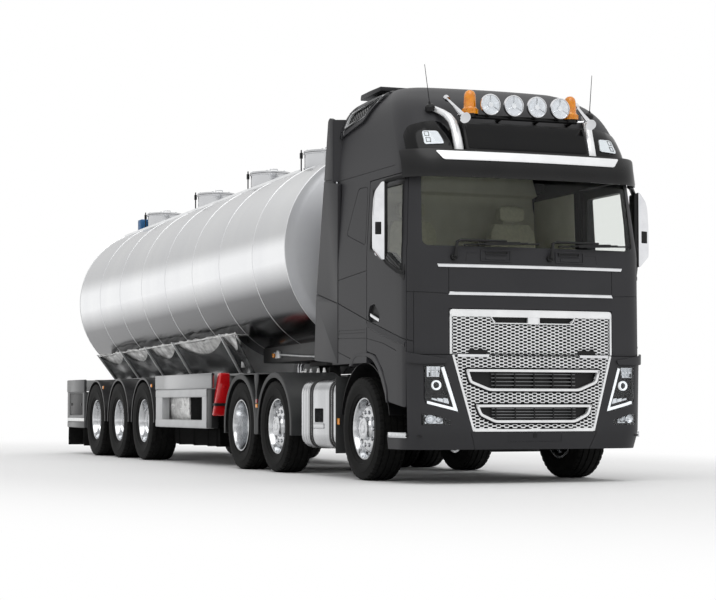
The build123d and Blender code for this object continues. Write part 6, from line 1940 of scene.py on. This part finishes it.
# Plain finishes on the solids that stay as they are
solidFinishes = {
    "tractor_frame": chassisPaint, "engine_block": castIron, "tractor_axles": chassisPaint,
    "knuckle_left": castIron, "knuckle_right": castIron, "fifth_wheel": castIron,
    "side_tanks": polishedAluminium, "tractor_mudguards": blackPlastic,
    "cab_shell": cabPaint, "cab_roof": cabPaint, "windscreen": safetyGlass,
    "door_left": cabPaint, "door_right": cabPaint,
    "door_glass_left": safetyGlass, "door_glass_right": safetyGlass,
    "side_deflectors": cabPaint, "roof_visor": blackPlastic, "roof_lamps": chromePlate,
    "front_bumper": cabPaint, "headlamps": lampCover, "grilles": anodisedAluminium,
    "cab_interior": cabTrim, "mirror_left": chromePlate, "mirror_right": chromePlate,
    "tank": anodisedAluminium, "saddles": anodisedAluminium, "trailer_frame": zincPaint,
    "trailer_axles": castIron, "trailer_guards": zincPaint, "rear_cabinets": chassisPaint,
    "extinguisher_boxes": redFibreglass, "walkway_rails": anodisedAluminium,
}
for number in range(1, 5):
    solidFinishes[f"manhole_lid_{number}"] = anodisedAluminium
for nodeName, finish in solidFinishes.items():
    nodes[nodeName].data.materials.clear()
    nodes[nodeName].data.materials.append(finish)


# Stage: a pale floor that runs out to white, a sky with a greyer band above a white horizon, a soft key
studio = {"floor": "#dedede",
          "sky": ((0.0, 1.0), (0.1, 1.0), (0.18, 0.6), (0.32, 0.68), (0.5, 1.0), (1.0, 0.95)),
          "patch": (11.5, 4.6), "fade": (0.85, 1.7),
          "keyStrength": 1.0, "keySpread": 50, "keyTurn": (30, 0, 75)}
floorFinish = makeFinish("paleStudioFloor", {
    "colour": studio["floor"], "second": studio["floor"], "patchMm": 3000, "roughness": (0.7, 0.8),
    "grainMm": 20, "bump": 0.0, "shader": {"Specular IOR Level": 0.2}})
tree = floorFinish.node_tree
place = addNode(tree, "ShaderNodeTexCoord")
scaled = addNode(tree, "ShaderNodeVectorMath",
                 {"operation": "MULTIPLY", 1: (1 / studio["patch"][0], 1 / studio["patch"][1], 0)},
                 {0: place.outputs["Object"]})
away = addNode(tree, "ShaderNodeVectorMath", {"operation": "LENGTH"}, {0: scaled.outputs["Vector"]})
fade = addNode(tree, "ShaderNodeMapRange",
               {"interpolation_type": "SMOOTHSTEP", "From Min": studio["fade"][0],
                "From Max": studio["fade"][1]}, {"Value": away.outputs["Value"]})
rays = addNode(tree, "ShaderNodeLightPath")
seen = addNode(tree, "ShaderNodeMath", {"operation": "MAXIMUM"},
               {0: rays.outputs["Is Camera Ray"], 1: rays.outputs["Is Transmission Ray"]})
mirrored = addNode(tree, "ShaderNodeMath", {"operation": "MAXIMUM"},
                   {0: seen.outputs["Value"], 1: rays.outputs["Is Glossy Ray"]})
share = addNode(tree, "ShaderNodeMath", {"operation": "MULTIPLY"},
                {0: fade.outputs["Result"], 1: mirrored.outputs["Value"]})
white = addNode(tree, "ShaderNodeEmission", {"Color": linear("#ffffff")})
blend = addNode(tree, "ShaderNodeMixShader", {},
                {0: share.outputs["Value"], 1: tree.nodes["Principled BSDF"].outputs["BSDF"],
                 2: white.outputs["Emission"]})
tree.links.new(blend.outputs["Shader"], tree.nodes["Material Output"].inputs["Surface"])
bpy.ops.mesh.primitive_plane_add(size=400)
floor = bpy.context.object
floor.name = "studioFloor"
floor.data.materials.append(floorFinish)

world = bpy.data.worlds.new("studioWorld")
scene.world = world
world.use_nodes = True
sky = world.node_tree
background = sky.nodes["Background"]
rays = addNode(sky, "ShaderNodeLightPath")
seen = addNode(sky, "ShaderNodeMath", {"operation": "MAXIMUM"},
               {0: rays.outputs["Is Camera Ray"], 1: rays.outputs["Is Transmission Ray"]})
direction = addNode(sky, "ShaderNodeTexCoord")
height = addNode(sky, "ShaderNodeSeparateXYZ", {}, {"Vector": direction.outputs["Generated"]})
glow = addNode(sky, "ShaderNodeValToRGB", {}, {"Fac": height.outputs["Z"]})
stops = glow.color_ramp.elements
stops[0].position, stops[1].position = studio["sky"][0][0], studio["sky"][-1][0]
for stop, (at, level) in zip((stops[0], stops[1]), (studio["sky"][0], studio["sky"][-1])):
    stop.color = (level, level, level, 1)
for at, level in studio["sky"][1:-1]:
    stops.new(at).color = (level, level, level, 1)
tone = addNode(sky, "ShaderNodeMix", {"data_type": "RGBA"}, {"Factor": seen.outputs["Value"]})
sky.links.new(glow.outputs["Color"], tone.inputs[6])
tone.inputs[7].default_value = linear("#ffffff")
sky.links.new(tone.outputs[2], background.inputs["Color"])

keyLamp = bpy.data.lights.new("softKey", "SUN")
keyLamp.energy, keyLamp.angle = studio["keyStrength"], math.radians(studio["keySpread"])
keyObject = bpy.data.objects.new("softKey", keyLamp)
keyObject.rotation_euler = [math.radians(a) for a in studio["keyTurn"]]
scene.collection.objects.link(keyObject)

# Camera low ahead of the right front corner
view = {"place": (23.912, -8.458, 0.727), "lens": 100.57, "turn": 21.457, "rise": 3.039}
camera = bpy.data.cameras.new("viewCamera")
camera.sensor_width, camera.lens, camera.sensor_fit, camera.clip_end = 36, view["lens"], "HORIZONTAL", 200
cameraObject = bpy.data.objects.new("viewCamera", camera)
scene.collection.objects.link(cameraObject)
turn, rise = math.radians(view["turn"]), math.radians(view["rise"])
ahead = Vector((-math.cos(turn) * math.cos(rise), math.sin(turn) * math.cos(rise), math.sin(rise)))
across = ahead.cross(Vector((0, 0, 1))).normalized()
above = across.cross(ahead)
place = Vector(view["place"])
cameraObject.matrix_world = Matrix([(across[i], above[i], -ahead[i], place[i]) for i in range(3)]
                                   + [(0, 0, 0, 1)])
scene.camera = cameraObject
scene.view_settings.view_transform = "Standard"
print("stage, lamps and camera done")
